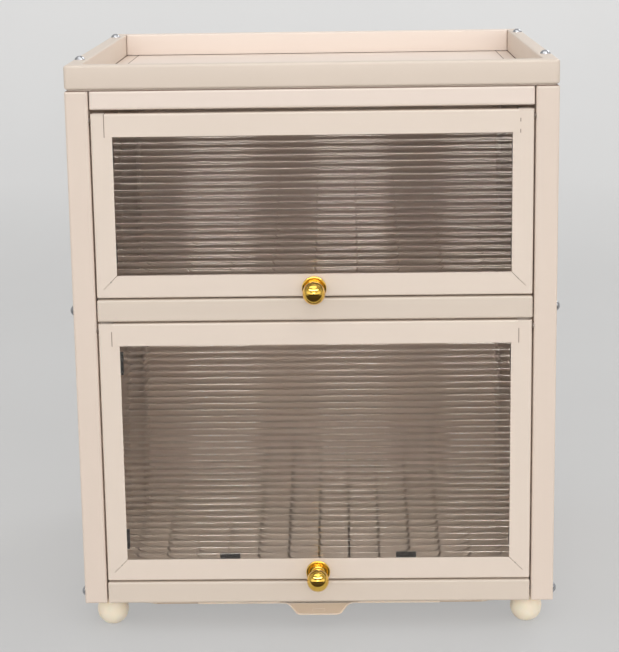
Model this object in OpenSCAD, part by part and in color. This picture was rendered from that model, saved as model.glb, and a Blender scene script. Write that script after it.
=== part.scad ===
// Two-tier countertop cabinet of folded sheet steel, with two flip-up reeded doors,
// a gallery rim round the top, slotted floors, a pull-out drip tray and ball feet.
// Millimetres. The origin is under the middle of the whole cabinet, at the feet's soles.
// The front faces -Y and +X is to the right.

/* [Cabinet] */
// Width over the two side panels
cabinet_w = 400; // [320:1:520]
// Depth over the posts
cabinet_d = 350; // [260:1:440]
// Height of the side panels
cabinet_h = 439; // [410:1:560]
// Thickness of the cabinet's sheet steel
sheet_t = 0.8; // [0.6:0.1:1.1]
// Outside radius of the cabinet's bends
bend_r = 2; // [1.6:0.1:2.6]

/* [Posts] */
// Width of a post's front face
post_w = 19; // [17:0.5:28]
// Depth of a post
post_d = 15; // [14:0.5:20]
// Width of the top flange that runs between the posts
top_flange_w = 24; // [21:0.5:30]
// Width of the bottom flange that the feet bolt to
foot_flange_w = 40; // [36:1:48]
// Height of the lip along the bottom flange
foot_lip_h = 6; // [3:0.5:7]

/* [Panels between the posts] */
// Gap between a post and the rails beside it
rail_gap = 1; // [0.4:0.1:1.5]
// Height of the upper floor's top face
shelf_z = 266; // [230:1:290]
// Height of the rail along the top
top_rail_h = 15.5; // [13:0.5:22]
// Height of the rail at the middle shelf
shelf_rail_h = 18.6; // [15:0.2:24]
// Height of the bottom rail, which is the lower floor's height
floor_rail_h = 19; // [16:0.2:24]
// Depth of the return along a rail's lower edge
rail_return = 8; // [4:0.5:12]
// Depth of the wide returns under the floor, which carry the runners
floor_return = 25; // [22:0.5:28]
// Depth of the flanges down the sides of the floors
side_flange_h = 12; // [8:0.5:13]
// Clearance between a floor's side and the side panel
floor_gap = 0.3; // [0.2:0.05:0.6]

/* [Drain slots] */
// Width of a drain slot
slot_w = 2; // [1.4:0.1:4]
// Distance between slots in the upper floor
shelf_slot_pitch = 36.4; // [28:0.2:50]
// Distance between slots in the lower floor
floor_slot_pitch = 26.6; // [20:0.2:40]
// Distance from the front or the rear face to the slots' ends
slot_margin_y = 34; // [28:1:60]
// Least distance from the cabinet's side to a slot
slot_margin_x = 34; // [26:1:60]

/* [Gallery] */
// Height of the gallery rim over the top
gallery_h = 20.7; // [14:0.1:30]
// Gap at each mitre of the gallery's rear rail
gallery_joint_gap = 0.3; // [0.1:0.05:0.8]
// Width of the gallery's top flange
gallery_w = 12.5; // [11:0.5:16]
// Width of the foot that is folded under the outer wall
gallery_foot_w = 9; // [8.6:0.1:9.6]

/* [Doors] */
// Gap between a door's side and the post
door_side_gap = 1.4; // [1.2:0.1:2]
// Gap over the upper door
upper_door_top_gap = 3.2; // [1.6:0.1:4]
// Gap over the lower door
lower_door_top_gap = 1.6; // [1.4:0.1:3]
// Gap under each door
door_bottom_gap = 1.6; // [1:0.1:2.5]
// Depth of a door
door_d = 9; // [8.4:0.1:10]
// Thickness of the doors' sheet steel
door_t = 0.6; // [0.5:0.05:0.7]
// Outside radius of the doors' bends
door_bend_r = 1.6; // [1.3:0.1:2]
// Width of a door's stiles, seen from the front
stile_w = 17.3; // [15:0.1:24]
// Height of a door's top and bottom rails, seen from the front
door_rail_h = 18.8; // [17:0.1:24]
// Width of the folded flange at the back of the frame
door_back_w = 12; // [11:0.1:14]
// How far the top strip laps over each stile
strip_lap = 6; // [4:0.1:8]
// Width of the mitre slits in the frame's lower corners
mitre_slit_w = 0.4; // [0.3:0.05:0.6]
// Length of a mitre slit
mitre_len = 16; // [12:0.5:19]

/* [Reeded panels] */
// Thickness of a clear panel without its ribs
panel_plate_t = 2.2; // [1.8:0.1:2.8]
// Height of the ribs
rib_h = 0.7; // [0.4:0.05:0.9]
// Distance between the ribs
rib_pitch = 5.7; // [4.5:0.1:8]
// How far a panel reaches behind its frame
panel_grip = 6; // [3:0.1:6.3]
// Length of a foam pad behind a panel's edge
pad_len = 17; // [10:0.5:24]
// Width of a foam pad
pad_w = 6; // [4:0.1:6.5]
// Distance from a window's corner to the middle of a side pad
pad_inset = 17; // [14:0.5:24]
// Distance from the middle to each bottom pad
pad_x = 75; // [50:1:90]
// How far the lower door's pads show in its window
pad_peek = 1.8; // [0:0.1:2.5]

/* [Door pivots] */
// Diameter of a pivot pin
pin_d = 4; // [3:0.1:4.4]
// Radial clearance of a pin in the post
pin_clearance = 0.06; // [0.04:0.01:0.1]
// Distance of the pivot behind the door's front face
pivot_y = 3.5; // [3.4:0.1:3.6]
// Distance of the pivot under the door's top edge
pivot_drop = 6; // [5.6:0.1:7]
// Thickness of the washer between the door and the post
washer_t = 1.2; // [0.8:0.1:1.2]

/* [Knobs] */
// Diameter of a knob's ball
knob_ball_d = 18.5; // [12:0.5:22]
// Diameter of a knob's base
knob_base_d = 20.4; // [14:0.2:21]
// Diameter of a knob's collar
knob_collar_d = 12.5; // [10:0.5:13.5]
// Diameter of a knob's neck
knob_neck_d = 7; // [6.4:0.2:9]
// Diameter of the boss that holds a knob's base off the door
knob_boss_d = 12; // [8:0.5:12]
// Height of that boss
knob_boss_h = 0.3; // [0.2:0.05:0.5]
// Thickness of a knob's base
knob_base_t = 2.4; // [1.6:0.1:3]
// Thickness of a knob's collar
knob_collar_t = 2.6; // [1.6:0.1:3]
// How far a knob stands out of the door
knob_reach = 31; // [24:0.5:36]
// Depth of the screw in a knob
knob_screw_depth = 9; // [6:0.5:12]
// Height of a knob over the door's lower edge
knob_z = 7; // [6.6:0.1:8.2]

/* [Screws and bumpers] */
// Shank diameter of the screws
screw_d = 4; // [3:0.1:4.2]
// Head diameter of the domed screws
screw_head_d = 8.8; // [7:0.1:9.6]
// Height of a domed head
screw_head_h = 3.2; // [2:0.1:3.6]
// Clearance round a screw's shank
screw_clearance = 0.15; // [0.05:0.05:0.3]
// Depth of thread in a nut or a knob
thread_bite = 0.1; // [0.05:0.01:0.15]
// Width across the flats of the screws' nuts
nut_w = 7; // [6.6:0.1:7.4]
// Height of the screws' nuts
nut_h = 3.2; // [2.4:0.1:4]
// Distance of the side screws from the front and rear faces
side_screw_y = 8; // [7:0.1:8.4]
// Distance of the side screws under their shelf's top face
side_screw_drop = 10; // [8:0.1:11]
// Distance of the gallery screws from the cabinet's side
gallery_screw_x = 6; // [5.6:0.1:6.2]
// Distance of the front gallery screws from the front face
gallery_screw_front = 57; // [30:1:90]
// Distance of the rear gallery screws from the rear face
gallery_screw_rear = 45; // [26:1:90]
// Diameter of a door bumper
bumper_d = 7; // [5:0.5:8]
// Height of a door bumper over the door's lower edge
bumper_z = 16; // [12:1:30]
// Height of the lug that carries a bumper
lug_h = 13; // [10:0.5:20]

/* [Feet] */
// Radius of a ball foot
foot_r = 13.5; // [12:0.5:14.5]
// Height of the feet under the cabinet
foot_h = 25.5; // [23:0.5:28.5]
// Diameter of the neck between a foot and the cabinet
foot_neck_d = 11; // [9:0.5:14]
// Diameter of the flat sole of a foot
foot_sole_d = 8; // [4:0.5:10]
// Distance of a foot's centre from the cabinet's side
foot_inset_x = 21; // [16:0.5:24]
// Distance of a foot's centre from the front or rear face
foot_inset_y = 22; // [21.5:0.5:30]
// Diameter of a foot's stud
foot_stud_d = 6; // [5:0.5:6]
// Width across the flats of a foot's nut
foot_nut_w = 10; // [8.6:0.2:10]
// Height of a foot's nut
foot_nut_h = 4; // [3:0.5:5]

/* [Drip tray] */
// Distance of the tray's rim from the cabinet's side
tray_inset = 45; // [44:1:60]
// Distance from the rear face to the tray's rim
tray_rear = 34; // [30:1:70]
// Depth of the tray's pan under its rim
tray_depth = 7; // [5:0.5:9]
// Wall thickness of the tray
tray_t = 1.2; // [1:0.1:1.6]
// Radius of the tray's corners
tray_corner_r = 8; // [4:0.5:12]
// Distance of the pan's front wall behind the cabinet's front
pan_front = 22; // [16:0.5:40]
// Width of the tray's side rim, which runs in the runners
tray_rim_w = 6; // [5:0.5:8]
// Play over the tray's rim in the runners
tray_play = 0.4; // [0.2:0.1:0.8]
// Distance of the tray's front lip behind the cabinet's front
tray_front = 4; // [2:0.5:5]
// Width of the front lip
lip_w = 207; // [120:1:220]
// Radius of the lip's front corners
lip_corner_r = 3; // [1:0.5:6]
// Width of the finger tab where it leaves the lip
tab_top_w = 50; // [40:1:70]
// Width of the finger tab at its lower edge
tab_low_w = 38; // [28:1:39]
// Height of the finger tab
tab_h = 10.8; // [8:0.2:12.5]
// Radius of the tab's lower corners
tab_corner_r = 4; // [2:0.5:5]
// Radius of the fillets between the tab and the lip
tab_fillet_r = 5; // [2:0.5:6]
// Width of the rolled rim round the tab
tab_rim_w = 1.4; // [1:0.1:2]
// Width of the raised pad on the tab
tab_pad_w = 10.6; // [4:0.2:16]
// Height of the raised pad on the tab
tab_pad_h = 2.6; // [1:0.1:4]
// Distance of the raised pad over the tab's lower edge
tab_pad_z = 3.4; // [2:0.1:5]

/* [Hidden] */
$fn = 48;
eps = 0.01;

cream = [0.88, 0.82, 0.76];
cream_plastic = [0.90, 0.83, 0.72];
steel = [0.62, 0.63, 0.64];
gold = [0.83, 0.62, 0.16];
clear = [0.60, 0.56, 0.52, 0.45];
foam_black = [0.07, 0.07, 0.07];
nylon = [0.93, 0.93, 0.91];

half_w = cabinet_w / 2;
post_x = half_w - post_w;
rail_x = post_x - rail_gap;
rear_rail_x = rail_x - sheet_t;
rail_rear_y = cabinet_d - sheet_t;
rear_rail_d = post_d - sheet_t;
seam_x = half_w - top_flange_w;
foot_flange_x = half_w - foot_flange_w;
floor_x = half_w - sheet_t - floor_gap;

// Small distances that keep neighbouring sheets, seams and fits apart
sheet_gap = 0.4;
seam_gap = 0.2;
wing_gap = 0.5;
pin_fit = 0.05;
rib_flat = 0.04;
driver_gap = 0.5;
screw_tail = 1.2;

between_y = post_d + sheet_gap;
lip_under_z = cabinet_h - 2 * sheet_t;

door_x = post_x - door_side_gap;
window_x = door_x - stile_w;
upper_door_z = shelf_z + door_bottom_gap;
upper_door_h = cabinet_h - top_rail_h - upper_door_top_gap - upper_door_z;
lower_door_z = floor_rail_h + door_bottom_gap;
lower_door_h = shelf_z - shelf_rail_h - lower_door_top_gap - lower_door_z;
panel_t = panel_plate_t + rib_h;
panel_x = window_x + panel_grip;
pad_t = door_d - 2 * door_t - panel_t;
strip_x = door_x - door_back_w - seam_gap;

screw_r = screw_d / 2;
screw_hole_r = screw_r + screw_clearance;
pin_r = pin_d / 2;
pin_hole_r = pin_r + pin_clearance;
side_screw_heights = [floor_rail_h - side_screw_drop, shelf_z - side_screw_drop];
side_screw_ys = [side_screw_y, cabinet_d - side_screw_y];
gallery_screw_ys = [gallery_screw_front, cabinet_d - gallery_screw_rear];
foot_ys = [foot_inset_y, cabinet_d - foot_inset_y];
foot_x = half_w - foot_inset_x;
lug_y = post_d;
lug_wing_y = post_d / 3;
lug_reach = door_back_w + door_side_gap;
pin_in = 6;
pin_out = 5;
pin_collar_t = 1.2;
pin_collar_lip = 0.8;
washer_r = pivot_y - seam_gap;
knob_screw_head_d = 7;
knob_screw_head_h = 2.6;

tray_w = cabinet_w - 2 * tray_inset;
tray_x = tray_w / 2;
tray_rim_z = -sheet_t - tray_play;
tray_back = cabinet_d - tray_rear;
tray_shoulder = 3;
lip_roll = 0.3;
tab_rim_t = 1;
tab_pad_t = 0.5;
runner_x = tray_x + tray_play;
runner_front = 12;
runner_rear = 4;
runner_slack = 0.6;

// Moves a piece from the cabinet's own corner frame to the object's origin
module at_home() {
    translate([0, -(cabinet_d - knob_reach) / 2, foot_h]) children();
}

module on_both_sides() {
    children();
    mirror([1, 0, 0]) children();
}

// Rectangle from the origin with chosen corners rounded, anticlockwise from the origin
module soft_rect(w, h, r, corners = [true, true, true, true]) {
    difference() {
        square([w, h]);
        for (i = [0:3]) {
            if (corners[i]) {
                translate([(i == 1 || i == 2) ? w : 0, i >= 2 ? h : 0]) rotate(90 * i) difference() {
                    translate([-1, -1]) square(r + 1);
                    translate([r, r]) circle(r);
                }
            }
        }
    }
}

// Box from the origin whose edges are rounded, as on folded sheet
module soft_block(w, d, h, r) {
    intersection() {
        linear_extrude(h) soft_rect(w, d, r);
        translate([0, d, 0]) rotate([90, 0, 0]) linear_extrude(d) soft_rect(w, h, r);
        rotate([90, 0, 90]) linear_extrude(w) soft_rect(d, h, r);
    }
}

// The same box as a shell of sheet
module bent_shell(w, d, h, t, r) {
    difference() {
        soft_block(w, d, h, r);
        translate([t, t, t]) soft_block(w - 2 * t, d - 2 * t, h - 2 * t, r - t);
    }
}

module bore_x(x0, x1, r) {
    translate([x0, 0, 0]) rotate([0, 90, 0]) cylinder(r = r, h = x1 - x0);
}

module bore_y(y0, y1, r) {
    translate([0, y0, 0]) rotate([-90, 0, 0]) cylinder(r = r, h = y1 - y0);
}

// Domed screw along +Z from under its head, which stands on z = 0 and points down
module domed_screw(length, head_d = screw_head_d, head_h = screw_head_h) {
    dome_r = (head_d * head_d / 4 + head_h * head_h) / (2 * head_h);
    rotate_extrude() {
        intersection() {
            translate([0, dome_r - head_h]) circle(dome_r, $fn = 96);
            translate([0, -head_h]) square([head_d / 2, head_h]);
        }
        translate([0, -eps]) square([screw_r, length + eps]);
    }
}

module hex_nut(width, height, bore_r) {
    difference() {
        cylinder(d = width / cos(30), h = height, $fn = 6);
        translate([0, 0, -1]) cylinder(r = bore_r, h = height + 2);
    }
}

// Side panel

module side_panel() {
    difference() {
        union() {
            difference() {
                translate([post_x, 0, 0]) bent_shell(post_w, cabinet_d, cabinet_h, sheet_t, bend_r);
                translate([post_x - 1, post_d, -1])
                    cube([bend_r + 1 + sheet_gap, cabinet_d - 2 * post_d, cabinet_h + 2]);
            }
            translate([seam_x + seam_gap, between_y, cabinet_h - sheet_t])
                cube([top_flange_w - bend_r - 1, cabinet_d - 2 * between_y, sheet_t]);
            translate([foot_flange_x, between_y, 0])
                cube([foot_flange_w - bend_r - 1, cabinet_d - 2 * between_y, sheet_t]);
            translate([foot_flange_x, between_y, 0])
                cube([sheet_t, cabinet_d - 2 * between_y, foot_lip_h]);
        }
        for (y = side_screw_ys) {
            for (z = side_screw_heights) {
                translate([0, y, z]) bore_x(post_x - 1, half_w + 1, screw_hole_r);
            }
        }
        for (y = gallery_screw_ys) {
            translate([half_w - gallery_screw_x, y, cabinet_h - 2]) cylinder(r = screw_hole_r, h = 3);
        }
        for (y = foot_ys) {
            translate([foot_x, y, -1]) cylinder(r = foot_stud_d / 2 + screw_clearance, h = 3);
        }
        for (z = [upper_door_z + upper_door_h, lower_door_z + lower_door_h]) {
            translate([0, pivot_y, z - pivot_drop]) bore_x(post_x - 1, post_x + 2, pin_hole_r);
        }
    }
}

module side_panel_left() { color(cream) at_home() mirror([1, 0, 0]) side_panel(); }
module side_panel_right() { color(cream) at_home() side_panel(); }

// Panels between the posts: each has a boxed rail at the front and the rear and a floor

module end_rail(x, depth, h, ret) {
    difference() {
        translate([-x, 0, 0]) bent_shell(2 * x, 2 * depth, h, sheet_t, bend_r);
        translate([-x - 1, depth, -1]) cube([2 * x + 2, 2 * depth, h + 2]);
        translate([-x + sheet_t, ret, -1]) cube([2 * (x - sheet_t), depth, sheet_t + bend_r]);
    }
}

module rail_pair(z, h, ret) {
    translate([0, 0, z - h]) end_rail(rail_x, post_d, h, ret);
    translate([0, rail_rear_y, z - h]) mirror([0, 1, 0]) end_rail(rear_rail_x, rear_rail_d, h, ret);
}

// Side parts of a floor, with a rounded bend down into a flange
module floor_wings(z) {
    on_both_sides() {
        translate([0, cabinet_d - between_y - wing_gap, z - side_flange_h]) rotate([90, 0, 0])
            linear_extrude(cabinet_d - 2 * between_y - 2 * wing_gap) difference() {
                soft_rect(floor_x, side_flange_h, bend_r, [false, false, true, false]);
                translate([-1, -1])
                    soft_rect(floor_x - sheet_t + 1, side_flange_h - sheet_t + 1, bend_r - sheet_t,
                        [false, false, true, false]);
            }
    }
}

module floor_sheet(x, z) {
    translate([-x, post_d - 1, z - sheet_t])
        cube([2 * x, rail_rear_y - post_d - rear_rail_d + 2, sheet_t]);
}

// Long drain slots from front to rear, one in the middle and the rest on both sides of it
module drain_slots(pitch, z) {
    steps = floor((half_w - slot_margin_x) / pitch);
    length = cabinet_d - 2 * slot_margin_y;
    for (i = [-steps:steps]) {
        translate([i * pitch, slot_margin_y, z - 2 * sheet_t]) linear_extrude(3 * sheet_t) {
            translate([-slot_w / 2, slot_w / 2]) square([slot_w, length - slot_w]);
            translate([0, slot_w / 2]) circle(slot_w / 2);
            translate([0, length - slot_w / 2]) circle(slot_w / 2);
        }
    }
}

module rail_screw_holes(z) {
    on_both_sides() for (y = side_screw_ys) {
        translate([0, y, z - side_screw_drop]) bore_x(rear_rail_x - sheet_t - 1, rail_x + 1, screw_hole_r);
    }
}

module shelf_body(z, h, ret, pitch) {
    difference() {
        union() {
            rail_pair(z, h, ret);
            floor_sheet(rear_rail_x - bend_r, z);
            floor_wings(z);
        }
        drain_slots(pitch, z);
        rail_screw_holes(z);
    }
}

module mid_shelf() {
    color(cream) at_home() shelf_body(shelf_z, shelf_rail_h, rail_return, shelf_slot_pitch);
}

module bottom_panel() {
    wide_x = foot_flange_x - 1;
    color(cream) at_home() {
        shelf_body(floor_rail_h, floor_rail_h, post_d, floor_slot_pitch);
        translate([-wide_x, post_d - 1, 0]) cube([2 * wide_x, floor_return - post_d + 1, sheet_t]);
        translate([-wide_x, rail_rear_y - floor_return, 0])
            cube([2 * wide_x, floor_return - rear_rail_d + 1, sheet_t]);
    }
}

// The top's sides step down into lips that lie under the side panels' flanges
module top_panel() {
    lip_len = cabinet_d - 2 * between_y - 2 * wing_gap;
    color(cream) at_home() difference() {
        union() {
            rail_pair(cabinet_h, top_rail_h, rail_return);
            floor_sheet(seam_x, cabinet_h);
            on_both_sides() {
                translate([seam_x - sheet_t, between_y + wing_gap, lip_under_z])
                    cube([sheet_t, lip_len, 2 * sheet_t]);
                translate([seam_x - sheet_t, between_y + wing_gap, lip_under_z])
                    cube([top_flange_w - bend_r + sheet_t, lip_len, sheet_t]);
            }
        }
        on_both_sides() for (y = gallery_screw_ys) {
            translate([half_w - gallery_screw_x, y, cabinet_h - 3]) cylinder(r = screw_hole_r, h = 4);
        }
    }
}

module back_panel() {
    color(cream) at_home() difference() {
        translate([-rail_x, cabinet_d - post_d, 0]) linear_extrude(cabinet_h) difference() {
            soft_rect(2 * rail_x, post_d, bend_r, [false, false, true, true]);
            translate([sheet_t, -1])
                soft_rect(2 * rail_x - 2 * sheet_t, post_d + 1 - sheet_t, bend_r - sheet_t,
                    [false, false, true, true]);
        }
        on_both_sides() for (z = side_screw_heights) {
            translate([0, cabinet_d - side_screw_y, z]) bore_x(rail_x - 2, rail_x + 1, screw_hole_r);
        }
    }
}

// Gallery rim: four folded rails whose ends are mitred against each other

module gallery_section() {
    difference() {
        soft_rect(gallery_w, gallery_h, bend_r, [true, false, true, true]);
        translate([sheet_t, sheet_t])
            soft_rect(gallery_w - 2 * sheet_t, gallery_h - 2 * sheet_t, bend_r - sheet_t,
                [true, false, true, true]);
        translate([gallery_foot_w, -1]) square([gallery_w - sheet_t - gallery_foot_w, sheet_t + 2]);
    }
}

// Rail along +X with its outer side at y = 0, cut back from each mitre by a gap
module mitred_rail(length, start_gap = 0, end_gap = 0) {
    intersection() {
        rotate([90, 0, 90]) linear_extrude(length) gallery_section();
        translate([0, 0, -1]) linear_extrude(gallery_h + 2) polygon([
            [start_gap, 0], [length - end_gap, 0],
            [length - end_gap - gallery_w, gallery_w], [gallery_w + start_gap, gallery_w]
        ]);
    }
}

// Outline of the rim with its upright corners rounded
module gallery_outline() {
    translate([-half_w, 0, cabinet_h - 1]) linear_extrude(gallery_h + 2)
        soft_rect(cabinet_w, cabinet_d, bend_r, $fn = 36);
}

module gallery_side_rail() {
    difference() {
        intersection() {
            translate([half_w, 0, cabinet_h]) rotate([0, 0, 90]) mitred_rail(cabinet_d);
            gallery_outline();
        }
        for (y = gallery_screw_ys) {
            translate([half_w - gallery_screw_x, y, cabinet_h - 1]) cylinder(r = screw_hole_r, h = gallery_h + 2);
        }
    }
}

module gallery_front_rail() {
    color(cream) at_home() intersection() {
        translate([-half_w, 0, cabinet_h]) mitred_rail(cabinet_w);
        gallery_outline();
    }
}

module gallery_left_rail() { color(cream) at_home() mirror([1, 0, 0]) gallery_side_rail(); }
module gallery_right_rail() { color(cream) at_home() gallery_side_rail(); }

module gallery_rear_rail() {
    color(cream) at_home() intersection() {
        translate([half_w, cabinet_d, cabinet_h]) rotate([0, 0, 180])
            mitred_rail(cabinet_w, gallery_joint_gap, gallery_joint_gap);
        gallery_outline();
    }
}

// Screws, nuts and bumpers of the cabinet

module gallery_screws() {
    reach = gallery_h + 2 * sheet_t + nut_h + screw_tail;
    color(steel) at_home() on_both_sides() for (y = gallery_screw_ys) {
        translate([half_w - gallery_screw_x, y, cabinet_h + gallery_h]) rotate([180, 0, 0]) domed_screw(reach);
    }
}

module gallery_nuts() {
    color(steel) at_home() on_both_sides() for (y = gallery_screw_ys) {
        translate([half_w - gallery_screw_x, y, lip_under_z - nut_h]) hex_nut(nut_w, nut_h, screw_r - thread_bite);
    }
}

module side_screws() {
    reach = half_w - rear_rail_x + sheet_t + nut_h + screw_tail;
    color(steel) at_home() on_both_sides() for (y = side_screw_ys) {
        for (z = side_screw_heights) {
            translate([half_w, y, z]) rotate([0, -90, 0]) domed_screw(reach);
        }
    }
}

module side_nuts() {
    color(steel) at_home() on_both_sides() for (z = side_screw_heights) {
        translate([rail_x - sheet_t - nut_h, side_screw_y, z]) rotate([0, 90, 0])
            hex_nut(nut_w, nut_h, screw_r - thread_bite);
        translate([rear_rail_x - sheet_t - nut_h, cabinet_d - side_screw_y, z]) rotate([0, 90, 0])
            hex_nut(nut_w, nut_h, screw_r - thread_bite);
    }
}

// Angle brackets inside the posts, whose plates reach behind the doors' stiles
module bumper_lugs() {
    color(cream) at_home() on_both_sides() for (z = [upper_door_z, lower_door_z]) {
        translate([0, 0, z + bumper_z - lug_h / 2]) {
            translate([post_x - lug_reach, lug_y, 0]) cube([lug_reach + 2 * sheet_t, sheet_t, lug_h]);
            translate([post_x + sheet_t, lug_wing_y, 0])
                cube([sheet_t, lug_y + sheet_t - lug_wing_y, lug_h]);
        }
    }
}

module door_bumpers() {
    color(nylon) at_home() on_both_sides() for (z = [upper_door_z, lower_door_z]) {
        translate([door_x - door_back_w / 2, 0, z + bumper_z]) bore_y(door_d, lug_y, bumper_d / 2);
    }
}

// Feet

module ball_foot() {
    centre_z = sqrt(foot_r * foot_r - foot_sole_d * foot_sole_d / 4) - foot_h;
    difference() {
        rotate_extrude($fn = 96) union() {
            intersection() {
                translate([0, centre_z]) circle(foot_r, $fn = 96);
                translate([0, -foot_h]) square([foot_r + 1, foot_h]);
            }
            translate([0, centre_z]) square([foot_neck_d / 2, -centre_z]);
        }
        translate([0, 0, -foot_h / 2]) cylinder(r = foot_stud_d / 2 - thread_bite, h = foot_h);
    }
}

module foot_at(side, y) {
    color(cream_plastic) at_home() translate([side * foot_x, y, 0]) ball_foot();
}

module foot_front_left() { foot_at(-1, foot_ys[0]); }
module foot_front_right() { foot_at(1, foot_ys[0]); }
module foot_rear_left() { foot_at(-1, foot_ys[1]); }
module foot_rear_right() { foot_at(1, foot_ys[1]); }

module foot_studs() {
    color(steel) at_home() on_both_sides() for (y = foot_ys) {
        translate([foot_x, y, -foot_h / 2])
            cylinder(d = foot_stud_d, h = foot_h / 2 + sheet_t + foot_nut_h + screw_tail);
    }
}

module foot_nuts() {
    color(steel) at_home() on_both_sides() for (y = foot_ys) {
        translate([foot_x, y, sheet_t]) hex_nut(foot_nut_w, foot_nut_h, foot_stud_d / 2 - thread_bite);
    }
}

// Drip tray and its runners

module tray_runner() {
    web_in = tray_x - tray_rim_w + runner_slack;
    length = rail_rear_y - runner_rear - runner_front;
    ledge_z = tray_rim_z - tray_t;
    translate([0, runner_front, 0]) {
        translate([web_in, 0, -sheet_t]) cube([runner_x + sheet_t - web_in, length, sheet_t]);
        translate([runner_x, 0, ledge_z - sheet_t]) cube([sheet_t, length, -ledge_z + sheet_t]);
        translate([web_in, 0, ledge_z - sheet_t]) cube([runner_x + sheet_t - web_in, length, sheet_t]);
    }
}

module tray_runner_left() { color(cream) at_home() mirror([1, 0, 0]) tray_runner(); }
module tray_runner_right() { color(cream) at_home() tray_runner(); }

module tab_outline() {
    tall = tab_h + 2 * tab_fillet_r;
    intersection() {
        offset(r = tab_corner_r) offset(delta = -tab_corner_r)
            polygon([
                [-tab_low_w / 2, 0], [tab_low_w / 2, 0], [tab_top_w / 2, tab_h],
                [tab_top_w / 2, tall], [-tab_top_w / 2, tall], [-tab_top_w / 2, tab_h]
            ]);
        translate([-tab_top_w, 0]) square([2 * tab_top_w, tab_h + tray_t]);
    }
}

// Fillets that lead the tab's sides out into the lip
module tab_fillets() {
    for (s = [-1, 1]) {
        translate([s * (tab_top_w / 2 + tab_fillet_r), tab_h - tab_fillet_r]) difference() {
            translate([s > 0 ? -tab_fillet_r - 1 : 0, 0]) square([tab_fillet_r + 1, tab_fillet_r + tray_t]);
            circle(tab_fillet_r);
        }
    }
}

// The pan is hollowed through the rim that runs round it
module drip_tray() {
    rim_low = tray_rim_z - tray_t;
    pan_w = tray_w - 2 * tray_rim_w;
    pan_d = tray_back - tray_rim_w - pan_front;
    rim_front = tray_front + tray_shoulder;
    lip_d = pan_front - tray_front + tray_t + 1;
    color(cream_plastic) at_home() difference() {
        union() {
            translate([-tray_x, rim_front, rim_low]) linear_extrude(tray_t)
                soft_rect(tray_w, tray_back - rim_front, tray_corner_r);
            translate([-lip_w / 2, tray_front, rim_low]) linear_extrude(tray_t)
                soft_rect(lip_w, lip_d, lip_corner_r, [true, true, false, false]);
            translate([-lip_w / 2, tray_front, rim_low - lip_roll]) linear_extrude(tray_t)
                soft_rect(lip_w, tray_t, tray_t / 2, [true, true, false, false]);
            translate([-pan_w / 2, pan_front, rim_low - tray_depth]) linear_extrude(tray_depth + eps)
                soft_rect(pan_w, pan_d, tray_corner_r);
            translate([0, tray_front + tray_t, rim_low - tab_h]) rotate([90, 0, 0]) finger_tab();
        }
        translate([-pan_w / 2 + tray_t, pan_front + tray_t, rim_low - tray_depth + tray_t])
            linear_extrude(tray_depth + tray_t)
                soft_rect(pan_w - 2 * tray_t, pan_d - 2 * tray_t, tray_corner_r - tray_t);
    }
}

// Finger tab with its front face at z = tray_t, a rolled rim and a small raised pad
module finger_tab() {
    linear_extrude(tray_t) {
        tab_outline();
        tab_fillets();
    }
    translate([0, 0, tray_t - eps]) linear_extrude(tab_rim_t) difference() {
        tab_outline();
        offset(delta = -tab_rim_w) tab_outline();
        translate([-tab_top_w, tab_h - 1]) square([2 * tab_top_w, tab_h]);
    }
    translate([-tab_pad_w / 2, tab_pad_z, tray_t - eps]) cube([tab_pad_w, tab_pad_h, tab_pad_t]);
}

// Doors: every piece takes the height of the door's lower edge and the door's height

module door_frame(z0, h) {
    top = z0 + h;
    color(cream) at_home() difference() {
        translate([-door_x, 0, z0]) bent_shell(2 * door_x, door_d, h + door_d, door_t, door_bend_r);
        translate([-door_x - 1, -1, top]) cube([2 * door_x + 2, door_d + 2, door_d + 1]);
        translate([-window_x, -1, z0 + door_rail_h]) cube([2 * window_x, door_t + 2, h]);
        translate([-(door_x - door_back_w), door_d - door_t - 1, z0 + door_back_w])
            cube([2 * (door_x - door_back_w), door_t + 2, h]);
        translate([-(door_x - door_back_w), -1, top - door_bend_r])
            cube([2 * (door_x - door_back_w), door_d + 2, 2 * door_bend_r]);
        on_both_sides() translate([window_x, -1, z0 + door_rail_h]) rotate([0, 45, 0])
            translate([-1, 0, -mitre_slit_w / 2]) cube([mitre_len + 1, door_t + 2, mitre_slit_w]);
        on_both_sides() translate([0, pivot_y, top - pivot_drop])
            bore_x(door_x - 2, door_x + 1, pin_r + pin_fit);
        translate([0, 0, z0 + knob_z]) {
            bore_y(-1, door_t + 1, screw_hole_r);
            bore_y(door_d - door_t - 1, door_d + 1, knob_screw_head_d / 2 + driver_gap);
        }
    }
}

// Top strip, a channel that is dropped over the panel and laps over the stiles in front
module door_strip(z0, h) {
    lap_x = window_x + strip_lap;
    low = z0 + h - door_rail_h;
    depth = door_d + door_t;
    color(cream) at_home() difference() {
        translate([-lap_x, -door_t, low]) rotate([90, 0, 90]) linear_extrude(2 * lap_x) difference() {
            soft_rect(depth, door_rail_h, door_bend_r, [false, false, true, true]);
            translate([door_t, -1])
                soft_rect(depth - 2 * door_t, door_rail_h + 1 - door_t, door_bend_r - door_t,
                    [false, false, true, true]);
            translate([depth - door_t - 1, -1]) square([door_t + 2, door_rail_h + 1 - door_back_w]);
        }
        on_both_sides() translate([strip_x, 0, low - 1]) cube([stile_w, door_d + 1, door_rail_h + 2]);
    }
}

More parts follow.
